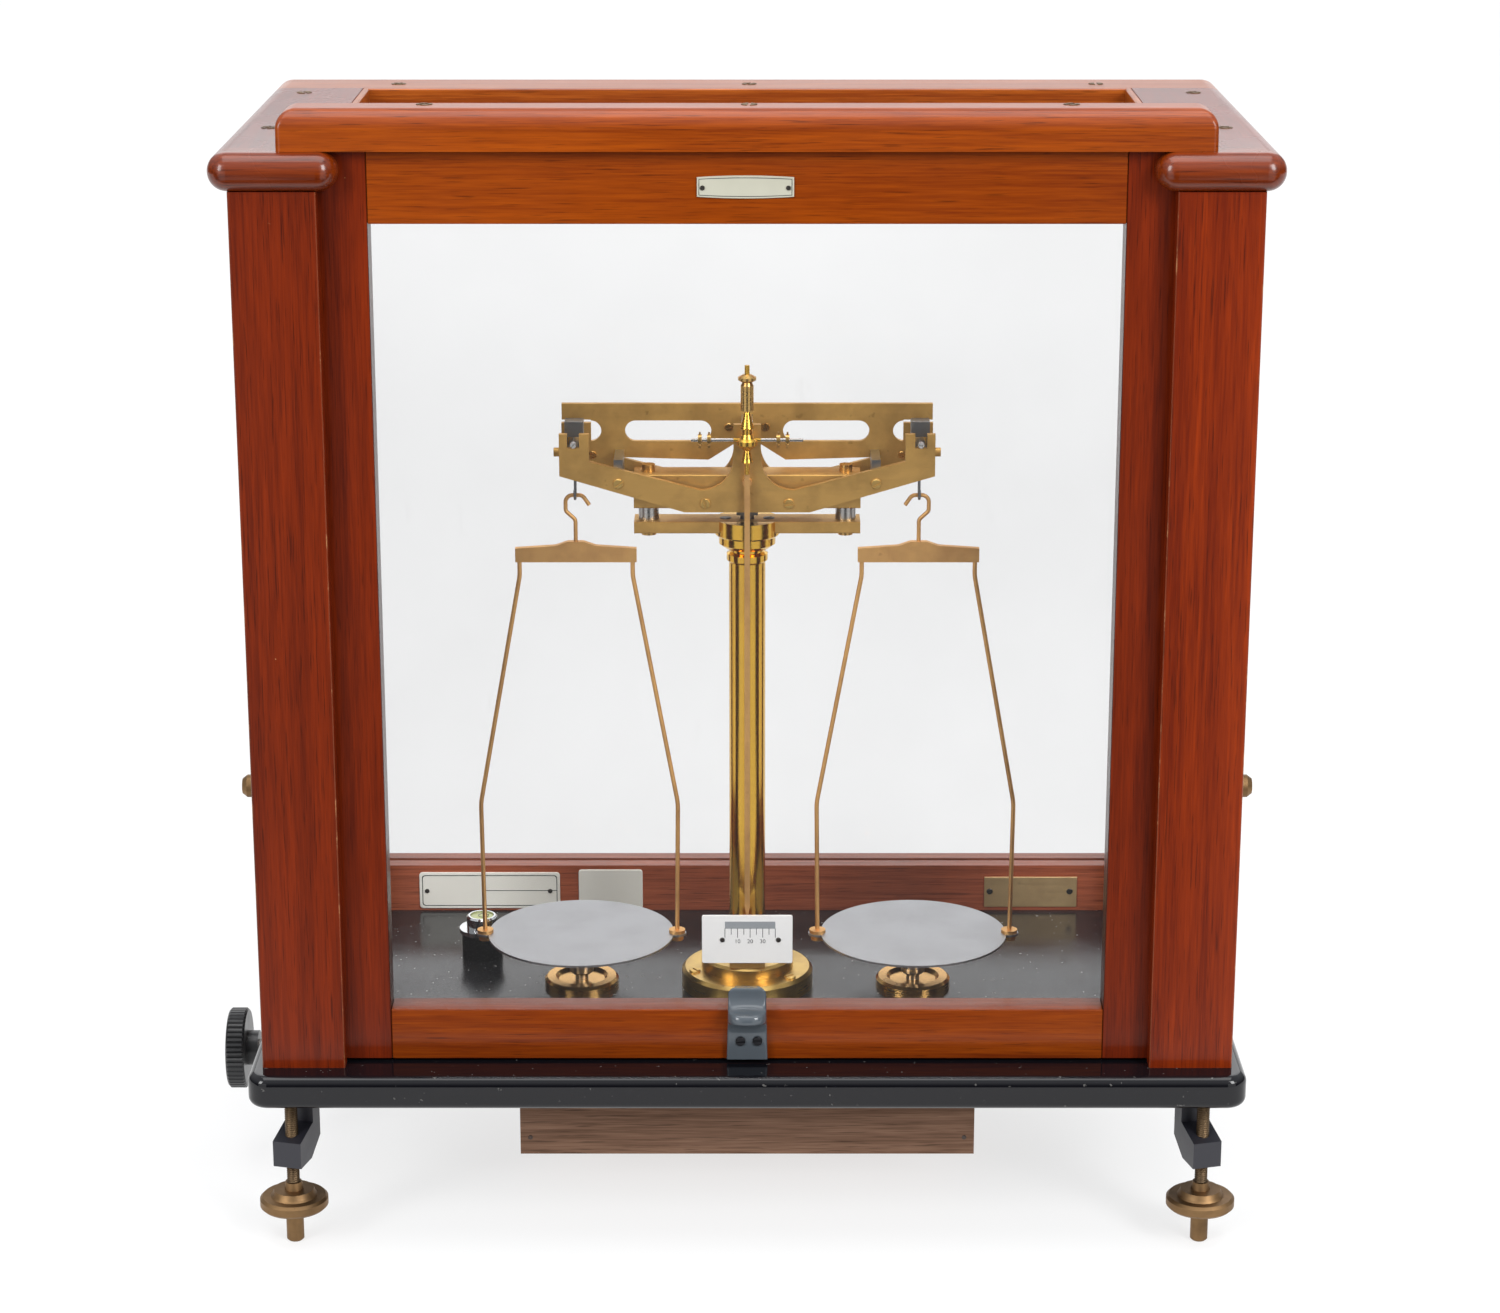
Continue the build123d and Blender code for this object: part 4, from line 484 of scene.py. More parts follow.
dress = {
    **wood_finishes, "base_board": base_lacquer, "lift_handle": grey_resin, "arrest_knob": black_resin,
    "foot_brackets": black_paint, "scale_plate": white_plate, "agate_plane": dark_stone,
    "bridge_posts": post_steel, "gravity_bob": spindle_brass, "beam_knives": ground_steel,
    "sash_cords": cord_fibre, "spirit_level": chromium, "column": turned_brass,
    "column_foot": foot_brass, "stop_sockets": collar_brass,
}
for finish, nodes in (
    (sheet_glass, ["rear_glass", "top_glass", "sash_glass"] + both("door_glass")),
    (worn_brass, both("door_fittings", "pulley", "foot_wheel") + ["door_hinges"]),
    (nut_brass, both("balance_nuts") + ["gravity_nut"]),
    (lapped_brass, ["crosshead", "bridge_bar", "beam_front_plate", "beam_rear_plate", "scale_bracket"]),
    (hanger_brass, both("hanger") + ["pointer"]),
    (turned_steel, both("pan_stop", "foot_screw") + ["arrest_shaft"]),
    (dark_steel, both("stirrup") + ["beam_lifter"]),
    (plated_pan, both("pan")),
    (raw_iron, both("counterweight")),
):
    dress.update({node: finish for node in nodes})
for node, finish in dress.items():
    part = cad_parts[node]
    for slot in part.material_slots:
        slot.material = finish
undressed = sorted(set(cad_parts) - set(dress))
print("dressed", len(dress), "left plain", undressed)

# %% [markdown]
# ## Surfaces from arrays
#
# New pieces are surfaces that are computed. A turned piece is a profile of radii and heights carried round an
# axis. A prism is an outline carried through a few heights, with its size changed a little at the ends so
# that its edges are eased. Both are whole arrays, which go to Blender in one call.

# %% Mesh helpers
AXES = {
    "+z": np.array([[1, 0, 0], [0, 1, 0], [0, 0, 1]], float),
    "-y": np.array([[1, 0, 0], [0, 0, 1], [0, -1, 0]], float),
    "+x": np.array([[0, 1, 0], [0, 0, 1], [1, 0, 0]], float),
    "-x": np.array([[0, -1, 0], [0, 0, 1], [-1, 0, 0]], float),
}
made = []


def grid_faces(rows, columns, wrap):
    """Quads between the points of a grid, closed round its second direction if wrap is set."""
    i, j = np.meshgrid(np.arange(rows - 1), np.arange(columns if wrap else columns - 1), indexing="ij")
    here, above, k = i * columns, (i + 1) * columns, (j + 1) % columns
    return np.stack([here + j, here + k, above + k, above + j], -1).reshape(-1, 4)


def finish_piece(name, points, faces, body, finish, slot, smooth=30.0):
    """Millimetre points and faces become a closed object at the origin that rides on a body."""
    mesh = bpy.data.meshes.new(name)
    mesh.from_pydata(place(points).tolist(), [], [list(face) for face in faces])
    work = bmesh.new()
    work.from_mesh(mesh)
    bmesh.ops.remove_doubles(work, verts=work.verts, dist=1e-6)
    bmesh.ops.recalc_face_normals(work, faces=work.faces)
    work.to_mesh(mesh)
    work.free()
    mesh.materials.append(finish)
    piece = bpy.data.objects.new(name, mesh)
    bpy.context.scene.collection.objects.link(piece)
    mesh.shade_smooth()
    mesh.set_sharp_from_angle(angle=math.radians(smooth))
    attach(piece, body)
    made.append(name)
    return piece


def turned(profile, centre, axis, sides):
    """A profile (r, h) turned round an axis through centre: (r cos a, r sin a, h) for each angle a."""
    profile = np.asarray(profile, float)
    angle = np.linspace(0, 2 * math.pi, sides, endpoint=False)
    ring = np.stack([np.cos(angle), np.sin(angle), np.ones(sides)], -1)
    scale = np.stack([profile[:, 0], profile[:, 0], profile[:, 1]], -1)
    points = (ring[None, :, :] * scale[:, None, :]).reshape(-1, 3)
    return points @ AXES[axis] + np.asarray(centre, float), grid_faces(len(profile), sides, True)


def prism(outline, levels, centre, axis):
    """An outline at levels of (height, inset): m + (p - m) (half - inset) / half about its middle m."""
    outline = np.asarray(outline, float)
    middle = (outline.max(0) + outline.min(0)) / 2
    half = (outline.max(0) - outline.min(0)) / 2
    rows = []
    for height, inset in levels:
        ring = middle + (outline - middle) * (half - inset) / half
        rows.append(np.column_stack([ring, np.full(len(ring), height)]))
    count = len(outline)
    faces = grid_faces(len(levels), count, True).tolist()
    faces.append(list(range(count))[::-1])
    faces.append(list(range((len(levels) - 1) * count, len(levels) * count)))
    return np.concatenate(rows) @ AXES[axis] + np.asarray(centre, float), faces


def join(parts):
    """Several (points, faces) as one."""
    points, faces, offset = [], [], 0
    for part_points, part_faces in parts:
        points.append(part_points)
        faces.extend([[int(v) + offset for v in face] for face in part_faces])
        offset += len(part_points)
    return np.concatenate(points), faces


def rectangle(width, height, corner=0.0, steps=5):
    """A rectangle about the middle with rounded corners, counter-clockwise."""
    if corner <= 0:
        w, h = width / 2, height / 2
        return np.array([(-w, -h), (w, -h), (w, h), (-w, h)])
    turn = np.linspace(0, math.pi / 2, steps)
    arc = np.column_stack([np.cos(turn), np.sin(turn)]) * corner
    corners = []
    for quarter, (sx, sy) in enumerate([(1, 1), (-1, 1), (-1, -1), (1, -1)]):
        c, s = math.cos(quarter * math.pi / 2), math.sin(quarter * math.pi / 2)
        spun = arc @ np.array([[c, s], [-s, c]])
        corners.append(spun + (sx * (width / 2 - corner), sy * (height / 2 - corner)))
    return np.concatenate(corners)


# %% [markdown]
# ## The sash's frame
#
# Two stiles run the whole height and hold two rails between them, each with its edges just broken so that
# they catch a line of light. Every board is a prism along its own length. The lower rail is the sight line
# that frames the pans, so it stays low, and the pane stands on it. The stiles keep their trench for the cord.

# %% Sash boards
SASH_LOW, SASH_BACK = 86.0, -86.0
SASH_HALF = 180.2
LOW_RAIL_TOP, HIGH_RAIL_LOW = 109.0, 452.6
TRENCH_IN, TRENCH_HALF = 176.7, 3.3
EASE = 0.4
sash_middle = (SASH_FACE + SASH_BACK) / 2


def board(outline, low, high, axis):
    """A prism along an axis whose ends are eased."""
    levels = [(low, EASE), (low + EASE, 0.0), (high - EASE, 0.0), (high, EASE)]
    return prism(outline, levels, (0.0, 0.0, 0.0), axis)


def eased(x0, x1, y0, y1, ease=0.6):
    """A rectangle between two corners with its own corners rounded."""
    return rectangle(x1 - x0, y1 - y0, ease, 4) + ((x0 + x1) / 2, (y0 + y1) / 2)


boards = []
for sign in (-1, 1):
    stile = np.array([
        (GLASS_HALF + EASE, SASH_FACE), (SASH_HALF, SASH_FACE), (SASH_HALF, sash_middle - TRENCH_HALF),
        (TRENCH_IN, sash_middle - TRENCH_HALF), (TRENCH_IN, sash_middle + TRENCH_HALF),
        (SASH_HALF, sash_middle + TRENCH_HALF), (SASH_HALF, SASH_BACK), (GLASS_HALF + EASE, SASH_BACK),
        (GLASS_HALF, SASH_BACK - EASE), (GLASS_HALF, SASH_FACE + EASE),
    ])
    boards.append(board(stile * (sign, 1), SASH_LOW, TOP_Z, "+z"))
for low, high in ((SASH_LOW, LOW_RAIL_TOP), (HIGH_RAIL_LOW, TOP_Z)):
    boards.append(board(eased(SASH_FACE, SASH_BACK, low, high), -GLASS_HALF, GLASS_HALF, "+x"))
sash_boards = finish_piece("sash_boards", *join(boards), "sash", wood_finishes["sash_frame"], "case_wood")
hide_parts("sash_frame")
print("sash boards", len(boards))

# %% [markdown]
# ## The finger pull
#
# The sash is lifted by a grey moulded pull: a plate that swells into a scooped lip. Seen from the side it is
# one closed outline of lines and bends. Across its width, with u from -1 to 1, the lip comes out by
# 0.3 + 0.7 sqrt(1 - |u|^2.5), so it is fullest in the middle. A shallow dish, (1 - u^2) times a half sine, is
# pressed into the scoop.

# %% Scooped lip
PULL_LOW, PULL_TOP, PULL_PLATE = 86.6, 120.0, 3.0
PULL_HALF, PULL_TAPER, PULL_CORNER = 8.9, 0.6, 3.0   # half-width, what it loses upwards, top corners
DISH_DEPTH, SIDE_EASE = 1.1, 0.7


def bend(a, b, c, steps=9):
    """A quadratic curve from a to c that heads for b: (1 - t)^2 a + 2 t (1 - t) b + t^2 c."""
    t = np.linspace(0.0, 1.0, steps)[:, None]
    return (1 - t) ** 2 * np.array(a) + 2 * t * (1 - t) * np.array(b) + t ** 2 * np.array(c)


scoop = bend((10.4, 110.9), (4.4, 111.6), (3.0, 119.3), 15)
before = np.concatenate([
    [(0.0, PULL_LOW), (2.4, PULL_LOW)],
    bend((2.4, PULL_LOW), (3.0, PULL_LOW), (3.0, PULL_LOW + 0.6), 4)[1:],
    bend((3.0, 99.0), (4.6, 105.2), (11.6, 106.0), 11),
    bend((11.6, 106.0), (13.2, 106.3), (13.0, 108.4), 6)[1:],
    bend((13.0, 108.4), (12.7, 110.6), (10.4, 110.9), 6)[1:-1],
])
after = np.concatenate([bend((3.0, 119.3), (2.8, PULL_TOP), (2.2, PULL_TOP), 4)[1:], [(0.0, PULL_TOP)]])
section = np.concatenate([before, scoop, after])
half_sine = np.sin(np.linspace(0, math.pi, len(scoop)))
dish = np.concatenate([np.zeros(len(before)), half_sine, np.zeros(len(after))]) * DISH_DEPTH
across = np.array([-1.0, -0.985, -0.95, *np.linspace(-0.88, 0.88, 23), 0.95, 0.985, 1.0])
swell = 0.3 + 0.7 * np.sqrt(1 - np.abs(across) ** 2.5)
out, up = section.T
out = PULL_PLATE + (out[None, :] - PULL_PLATE) * np.where(out > PULL_PLATE, swell[:, None], 1.0)
out = out - dish * (1 - across[:, None] ** 2)
rim = np.clip((np.abs(across) - 0.94) / 0.06, 0, 1)[:, None] ** 2 * SIDE_EASE
out = np.where(section[:, 0] > 0, out - rim, out)
corner = np.clip(up - (PULL_TOP - PULL_CORNER), 0.0, PULL_CORNER)
rounding = PULL_CORNER - np.sqrt(PULL_CORNER ** 2 - corner ** 2)
half = PULL_HALF - PULL_TAPER * np.clip((up - PULL_LOW) / 26.0, 0, 1) - rounding
points = np.stack([across[:, None] * half, SASH_FACE - out, np.broadcast_to(up, out.shape)], -1)
count = len(section)
faces = grid_faces(len(across), count, True).tolist()
faces += [list(range(count))[::-1], list(range((len(across) - 1) * count, len(across) * count))]
pull = finish_piece("scooped_pull", points.reshape(-1, 3), faces, "sash", grey_resin, "grey_moulding", 50.0)
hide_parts("lift_handle")
print("finger pull", points.shape[0], "by", points.shape[1])

# %% [markdown]
# ## Screws
#
# Slotted heads show at every joint. A head is a shallow dome with a groove right across it: two half discs,
# each a little off the middle, on a thin disc that is the floor of the groove. The flush screws of the top
# have a cross recess, so they are four quarter discs on such a floor.

# %% Screw heads
def wedge(radius, gap, start, sweep, steps):
    """Outline of a half or quarter disc whose flat sides lie gap / 2 off the middle.

    The arc runs from start + a to start + sweep - a, where sin a = gap / 2 radius. A quarter also has its
    inner corner, at gap / sqrt 2 from the middle.
    """
    reach = math.asin(gap / 2 / radius)
    turn = np.linspace(start + reach, start + sweep - reach, steps)
    arc = np.column_stack([np.cos(turn), np.sin(turn)]) * radius
    if sweep >= math.pi:
        return arc
    middle = start + sweep / 2
    corner = np.array([[math.cos(middle), math.sin(middle)]]) * gap / math.sqrt(2)
    return np.concatenate([arc, corner])


def slotted_head(centre, radius, height, axis, turn, gap=None):
    """Two half domes on a floor disc; turn is the angle of the slot."""
    gap = gap or radius * 0.32
    floor = height * 0.25
    parts = [turned([(0, 0), (radius, 0), (radius * 0.985, floor), (0, floor)], centre, axis, 24)]
    levels = [(floor / 2, 0.0), (height * 0.6, 0.0), (height, radius * 0.16)]
    for k in range(2):
        outline = wedge(radius, gap, turn + k * math.pi, math.pi, 9)
        parts.append(prism(outline, levels, centre, axis))
    return join(parts)


def cross_head(centre, radius, height, axis, turn):
    """Four quarter discs on a floor disc leave a cross recess between them."""
    floor = height * 0.3
    parts = [turned([(0, 0), (radius, 0), (radius, floor), (0, floor)], centre, axis, 24)]
    levels = [(height * 0.2, 0.0), (height * 0.8, 0.0), (height, radius * 0.04)]
    for k in range(4):
        outline = wedge(radius, radius * 0.34, turn + k * math.pi / 2, math.pi / 2, 6)
        parts.append(prism(outline, levels, centre, axis))
    return join(parts)


TOP_SCREWS = [
    (-200.3, 75.8), (-201.7, -36.6), (201.8, 75.8), (201.6, -36.6), (-160.4, 106.0), (0.9, 106.0),
    (160.4, 106.0),
]
CAP_SCREWS = [(-131.2, -90.2), (0.9, -90.2), (132.0, -90.2)]
HANDLE_SCREWS = [(-2.9, 95.5, 0.15), (4.5, 95.6, 0.0)]
FLUSH_R, FLUSH_H, FLUSH_SUNK = 3.4, 0.45, 0.15
turns = np.random.default_rng(7).uniform(0, math.pi, 80)


def flush_row(places, height, first):
    """Cross heads at places (x, y) that stand a little proud of a top face; first picks their angles."""
    low = height - FLUSH_SUNK
    return join([
        cross_head((x, y, low), FLUSH_R, FLUSH_H, "+z", turns[first + k]) for k, (x, y) in enumerate(places)
    ])


heads = flush_row(TOP_SCREWS, TOP_Z, 0)
finish_piece("top_frame_screws", *heads, "case", screw_brass, "aged_brass")
heads = flush_row(CAP_SCREWS, CAP_TOP, 8)
finish_piece("sash_cap_screws", *heads, "sash", screw_brass, "aged_brass")
heads = join([
    slotted_head((x, SASH_FACE - PULL_PLATE, z), 2.15, 0.9, "-y", angle) for x, z, angle in HANDLE_SCREWS
])
finish_piece("handle_screws", *heads, "sash", blued_steel, "dark_steel")
print("screws in the case:", len(TOP_SCREWS) + len(CAP_SCREWS) + len(HANDLE_SCREWS))

# %% [markdown]
# ## Plates
#
# The sash carries a small bowed plate, and the rear rail a ruled plate, a tag and a brass plate, all without
# words. The bowed plate's long edges are curves: with x from the middle and w half the width, the half-height
# is h + bow (1 - (x / w)^2). A ruled line is a narrow frame that stands a hair above the plate.

# %% Bare plates
def bowed(width, height, bow, steps=15):
    """Outline whose long edges swell by bow in the middle."""
    x = np.linspace(-width / 2, width / 2, steps)
    y = height / 2 + bow * (1 - (2 * x / width) ** 2)
    return np.concatenate([np.column_stack([x, -y]), np.column_stack([x[::-1], y[::-1]])])


def ring_prism(outer, inner, height, centre, axis):
    """A flat frame between two outlines with as many points each."""
    count = len(outer)
    rows = [np.column_stack([outline, np.full(count, level)])
            for outline, level in ((outer, 0.0), (outer, height), (inner, height), (inner, 0.0))]
    faces = grid_faces(5, count, True) % (4 * count)
    return np.concatenate(rows) @ AXES[axis] + np.asarray(centre, float), faces.tolist()


def shrink(outline, inset):
    """The outline drawn in by inset on every side of its box."""
    half = (outline.max(0) - outline.min(0)) / 2
    return outline * (half - inset) / half


PLATE_T, PLATE_EASE = 0.9, 0.25
LINE_SUNK, LINE_T = 0.05, 0.09
body_levels = [(0.0, 0.0), (PLATE_T - PLATE_EASE, 0.0), (PLATE_T, PLATE_EASE)]
line_levels = [(0.0, 0.0), (LINE_T, 0.0)]


def plate(name, outline, centre, body, finish, slot):
    """A sheet of one thickness with eased front edges, its back at centre."""
    finish_piece(name, *prism(outline, body_levels, centre, "-y"), body, finish, slot)


def plate_screws(name, places, face, radius, height, turn, body, slot="dark_steel"):
    """Slotted screws at places (x, z) on the front of a plate."""
    heads = [slotted_head((x, face - PLATE_T, z), radius, height, "-y", turn) for x, z in places]
    finish_piece(name, *join(heads), body, screw_metal, slot)


sash_outline = bowed(39.6, 8.0, 0.7)
plate("sash_plate", sash_outline, (-0.6, SASH_FACE, 467.9), "sash", ivory_plate, "white_enamel")
line_at = (-0.6, SASH_FACE - PLATE_T + LINE_SUNK, 467.9)
border = ring_prism(shrink(sash_outline, 0.75), shrink(sash_outline, 1.05), LINE_T, line_at, "-y")
finish_piece("sash_plate_line", *border, "sash", figure_ink, "dark_steel")
plate_screws("sash_plate_screws", [(-18.1, 467.6), (16.9, 467.6)], SASH_FACE, 1.0, 0.5, 0.6, "sash")

rear = REAR_RAIL_FACE
line_face = rear - PLATE_T + LINE_SUNK
ruled_outline = rectangle(68.2, 18.4, 1.6)
plate("ruled_plate", ruled_outline, (-125.1, rear, 95.4), "case", ivory_card, "white_enamel")
frame_at = (-125.1, line_face, 95.4)
lines = [ring_prism(shrink(ruled_outline, 1.3), shrink(ruled_outline, 1.7), LINE_T, frame_at, "-y")]
lines.append(prism(rectangle(0.35, 15.4), line_levels, (-128.8, line_face, 95.4), "-y"))
lines.append(prism(rectangle(36.6, 0.35), line_levels, (-110.6, line_face, 95.4), "-y"))
finish_piece("ruled_plate_lines", *join(lines), "case", ruled_ink, "dark_steel")
plate_screws("ruled_plate_screws", [(-155.5, 95.2), (-95.8, 95.2)], rear, 1.1, 0.6, 1.2, "case")
plate("blank_tag", rectangle(31.0, 20.0, 1.4), (-66.4, rear, 96.0), "case", ivory_card, "white_enamel")
plate("brass_plate", rectangle(45.0, 15.4, 0.4), (137.5, rear, 94.6), "case", plate_brass, "aged_brass")
plate_screws("brass_plate_screws", [(117.6, 95.0), (156.4, 95.0)], rear, 1.5, 0.6, 0.7, "case", "aged_brass")
print("plates ready")

# %% [markdown]
# ## The scale
#
# The white plate in front of the column has a grey bar with ticks under it and figures in tens, which the
# pointer's tip crosses. Figures are drawn as text, turned to a mesh and set on the plate.

# %% Ticks and figures
SCALE_FACE, SCALE_MID = -29.5, 1.3
BAR_W, BAR_Z = 22.8, 121.5
TICK_PITCH = BAR_W / 8
TICK_TOP, TICK_W = 119.9, 0.28
bar = prism(rectangle(BAR_W, 3.4), [(0.0, 0.0), (0.06, 0.0)], (SCALE_MID, SCALE_FACE, BAR_Z), "-y")
finish_piece("scale_bar", *bar, "case", grey_ink, "bright_steel")
ticks = []
for n in range(9):
    drop = 4.4 if n % 2 == 0 else 3.0
    middle = (SCALE_MID + (n - 4) * TICK_PITCH, SCALE_FACE, TICK_TOP - drop / 2)
    ticks.append(prism(rectangle(TICK_W, drop), [(0.0, 0.0), (0.08, 0.0)], middle, "-y"))
finish_piece("scale_ticks", *join(ticks), "case", figure_ink, "dark_steel")


def figures(name, words, size, body, finish, slot):
    """Text at several places as one mesh, 0.06 mm thick, on a face that looks to -Y."""
    parts = []
    for word, (x, y, z) in words:
        curve = bpy.data.curves.new(name, "FONT")
        curve.body, curve.size, curve.align_x, curve.align_y = word, size, "CENTER", "CENTER"
        curve.extrude = 0.03
        holder = bpy.data.objects.new(name, curve)
        bpy.context.scene.collection.objects.link(holder)
        graph = bpy.context.evaluated_depsgraph_get()
        mesh = bpy.data.meshes.new_from_object(holder.evaluated_get(graph))
        flat = np.empty(len(mesh.vertices) * 3)
        mesh.vertices.foreach_get("co", flat)
        points = flat.reshape(-1, 3) @ AXES["-y"] + (x, y, z)
        parts.append((points, [list(polygon.vertices) for polygon in mesh.polygons]))
        bpy.data.objects.remove(holder)
        bpy.data.curves.remove(curve)
        bpy.data.meshes.remove(mesh)
    finish_piece(name, *join(parts), body, finish, slot)


tens = [
    (str(10 * (n + 1)), (SCALE_MID + (n - 1) * 2 * TICK_PITCH, SCALE_FACE - 0.03, 113.6)) for n in range(3)
]
figures("scale_figures", tens, 2.7, "case", figure_ink, "dark_steel")
heads = join([slotted_head((x, SCALE_FACE, 114.4), 1.15, 0.5, "-y", 0.5) for x in (-11.3, 14.1)])
finish_piece("scale_screws", *heads, "case", screw_metal, "dark_steel")
print("scale:", len(ticks), "ticks and", len(tens), "figures")

# %% [markdown]
# ## Screws of the beam and the column
#
# Brass screw heads stand on the front of each of the beam's two plates, and a pale pin shows at each end
# knife. Two dark countersunk screws lie in the crosshead, and three brass ones in the column's foot.

# %% Beam and column screws
SPACERS = [(-56.6, -19.1), (56.6, -19.1), (-18.4, -28.0), (18.4, -28.0)]   # x, height about the knife edge
REAR_SCREWS = [(-68.6, -11.4, 1.7), (68.6, -11.4, 1.7), (-8.2, 1.2, 1.9), (8.2, 1.2, 1.9)]
FOOT_RING = 25.5
heads = [
    slotted_head((x, PLATE_FACE, KNIFE_Z + z), 2.3, 1.0, "-y", turns[k + 20], 0.95)
    for k, (x, z) in enumerate(SPACERS)
]
finish_piece("beam_screws", *join(heads), "beam", screw_gold, "lacquered_brass")
pins = [slotted_head((x, PLATE_FACE + 1.4, KNIFE_Z - 1.8), 1.5, 1.9, "-y", turns[k + 40], 0.5)
        for k, x in enumerate((-76.2, 76.2))]
finish_piece("end_knife_screws", *join(pins), "beam", pin_steel, "bright_steel")
heads = [
    slotted_head((x, REAR_PLATE_FACE, KNIFE_Z + z), radius, 0.9, "-y", turns[k + 44])
    for k, (x, z, radius) in enumerate(REAR_SCREWS)
]
finish_piece("rear_plate_screws", *join(heads), "beam", nut_brass, "lacquered_brass")
heads = [
    slotted_head((x, COLUMN_Y, KNIFE_Z - 37.7), 2.6, 0.25, "+z", turns[k + 30])
    for k, x in enumerate((-9.6, 9.6))
]
finish_piece("crosshead_screws", *join(heads), "case", screw_metal, "dark_steel")
heads = []
for k in range(3):
    turn = math.radians(200 + 120 * k)
    centre = (FOOT_RING * math.cos(turn), COLUMN_Y + FOOT_RING * math.sin(turn), BASE_TOP + 9.0)
    heads.append(slotted_head(centre, 2.6, 1.1, "+z", turns[k + 34]))
finish_piece("column_foot_screws", *join(heads), "case", screw_gold, "lacquered_brass")
print("fittings so far:", len(made))

# %% [markdown]
# ## Screws of the hinges and nails of the box
#
# Each leaf of a door hinge has two small countersunk screws. One leaf belongs to the case and the other to
# the door, so the screws are two pieces on each side. The front of the box under the base is nailed at its
# ends.

# %% Hinge screws and box nails
HINGE_FACE = CASE_HALF + 1.2
HINGE_SUNK = 0.1
LEAVES = (("post", 87.5), ("door", 69.5))   # leaf and how far back its screws are
hinge_heights = [middle + up for middle in (145.0, 407.0) for up in (-11.5, 11.5)]
for side, sign in (("left", -1), ("right", 1)):
    x, axis = sign * (HINGE_FACE - HINGE_SUNK), "-x" if sign < 0 else "+x"
    for leaf, y in LEAVES:
        heads = [slotted_head((x, y, z), 2.0, 0.4, axis, turns[k]) for k, z in enumerate(hinge_heights)]
        body = "case" if leaf == "post" else f"{side}_side_door"
        finish_piece(f"{side}_{leaf}_hinge_screws", *join(heads), body, worn_brass, "aged_brass")
nails = [
    turned([(0, 0), (1.1, 0), (0.8, 0.3), (0, 0.35)], (x, -58.0, z), "-y", 12)
    for x in (-98.0, 98.0) for z in (30.0, 46.0, 62.0)
]
finish_piece("box_nails", *join(nails), "case", raw_iron, "dark_steel")
print("hinge screws", 4 * len(hinge_heights), "and nails", len(nails))

# %% [markdown]
# ## The spirit level
#
# The level is a shallow round vial: spirit under a domed glass, with one bubble that floats under it. The
# liquid is a low dome in the bezel, and a fine dark ring is the bubble's edge.

# %% Vial and bubble
LEVEL_X, LEVEL_Y, LEVEL_TOP = -124.5, 28.0, 105.0
VIAL_LOW = -0.9
dome = [(0, 0), (5.5, 0), (5.4, 0.25), (4.2, 0.55), (2.4, 0.74), (0, 0.8)]
vial = turned([(r, h + VIAL_LOW) for r, h in dome], (LEVEL_X, LEVEL_Y, LEVEL_TOP), "+z", 36)
level_spirit = moulded("level_spirit", (0.50, 0.55, 0.22), 0.05, 0.0)
finish_piece("level_vial", *vial, "case", level_spirit, "pane_glass")
circle = rectangle(5.0, 5.0, 2.5, 9)
bubble_at = (LEVEL_X + 0.8, LEVEL_Y - 0.5, LEVEL_TOP - 0.2)
rim = ring_prism(circle, shrink(circle, 0.28), 0.2, bubble_at, "+z")
finish_piece("level_bubble", *rim, "case", figure_ink, "dark_steel")
print("level dressed")

# %% [markdown]
# ## Threads of the levelling feet
#
# A thread is a surface of angle a and height z whose radius is r - d |2 frac(z / pitch - a / 2 pi) - 1|.
# A grid fine enough for the pitch gives real ridges, which catch the light between wheel and bracket.

# %% Threaded screws
THREAD_R, THREAD_DEPTH, THREAD_PITCH = 2.9, 0.45, 1.0
THREAD_LOW, THREAD_HIGH = 10.2, 64.0
FOOT_X, FOOT_Y = 200.0, -100.0


def thread(centre, sides=24, per_turn=6):
    """A closed threaded rod, with per_turn rows of points to each turn of the thread."""
    rows = int((THREAD_HIGH - THREAD_LOW) / THREAD_PITCH * per_turn) + 1
    turn = np.linspace(0, 2 * math.pi, sides, endpoint=False)
    z, angle = np.meshgrid(np.linspace(THREAD_LOW, THREAD_HIGH, rows), turn, indexing="ij")
    phase = np.mod(z / THREAD_PITCH - angle / (2 * math.pi), 1.0)
    r = THREAD_R - THREAD_DEPTH * np.abs(2 * phase - 1)
    points = np.stack([r * np.cos(angle), r * np.sin(angle), z], -1)
    low, high = (np.zeros((1, sides, 3)) + (0, 0, end) for end in (THREAD_LOW, THREAD_HIGH))
    points = np.concatenate([low, points, high])
    return points.reshape(-1, 3) + np.asarray(centre, float), grid_faces(rows + 2, sides, True)


for side, sign in (("left", -1), ("right", 1)):
    rod = thread((sign * FOOT_X, FOOT_Y, 0.0))
    piece = finish_piece(f"{side}_threaded_rod", *rod, f"{side}_screw", screw_brass, "aged_brass")
    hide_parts(f"{side}_foot_screw")
print("points in a threaded rod:", len(rod[0]))

# %% [markdown]
# ## Bead round the top pane
#
# The top pane lies in a rebate and a narrow mitred bead keeps it down. The bead is a frame between two
# rectangles, with its upper edge eased.

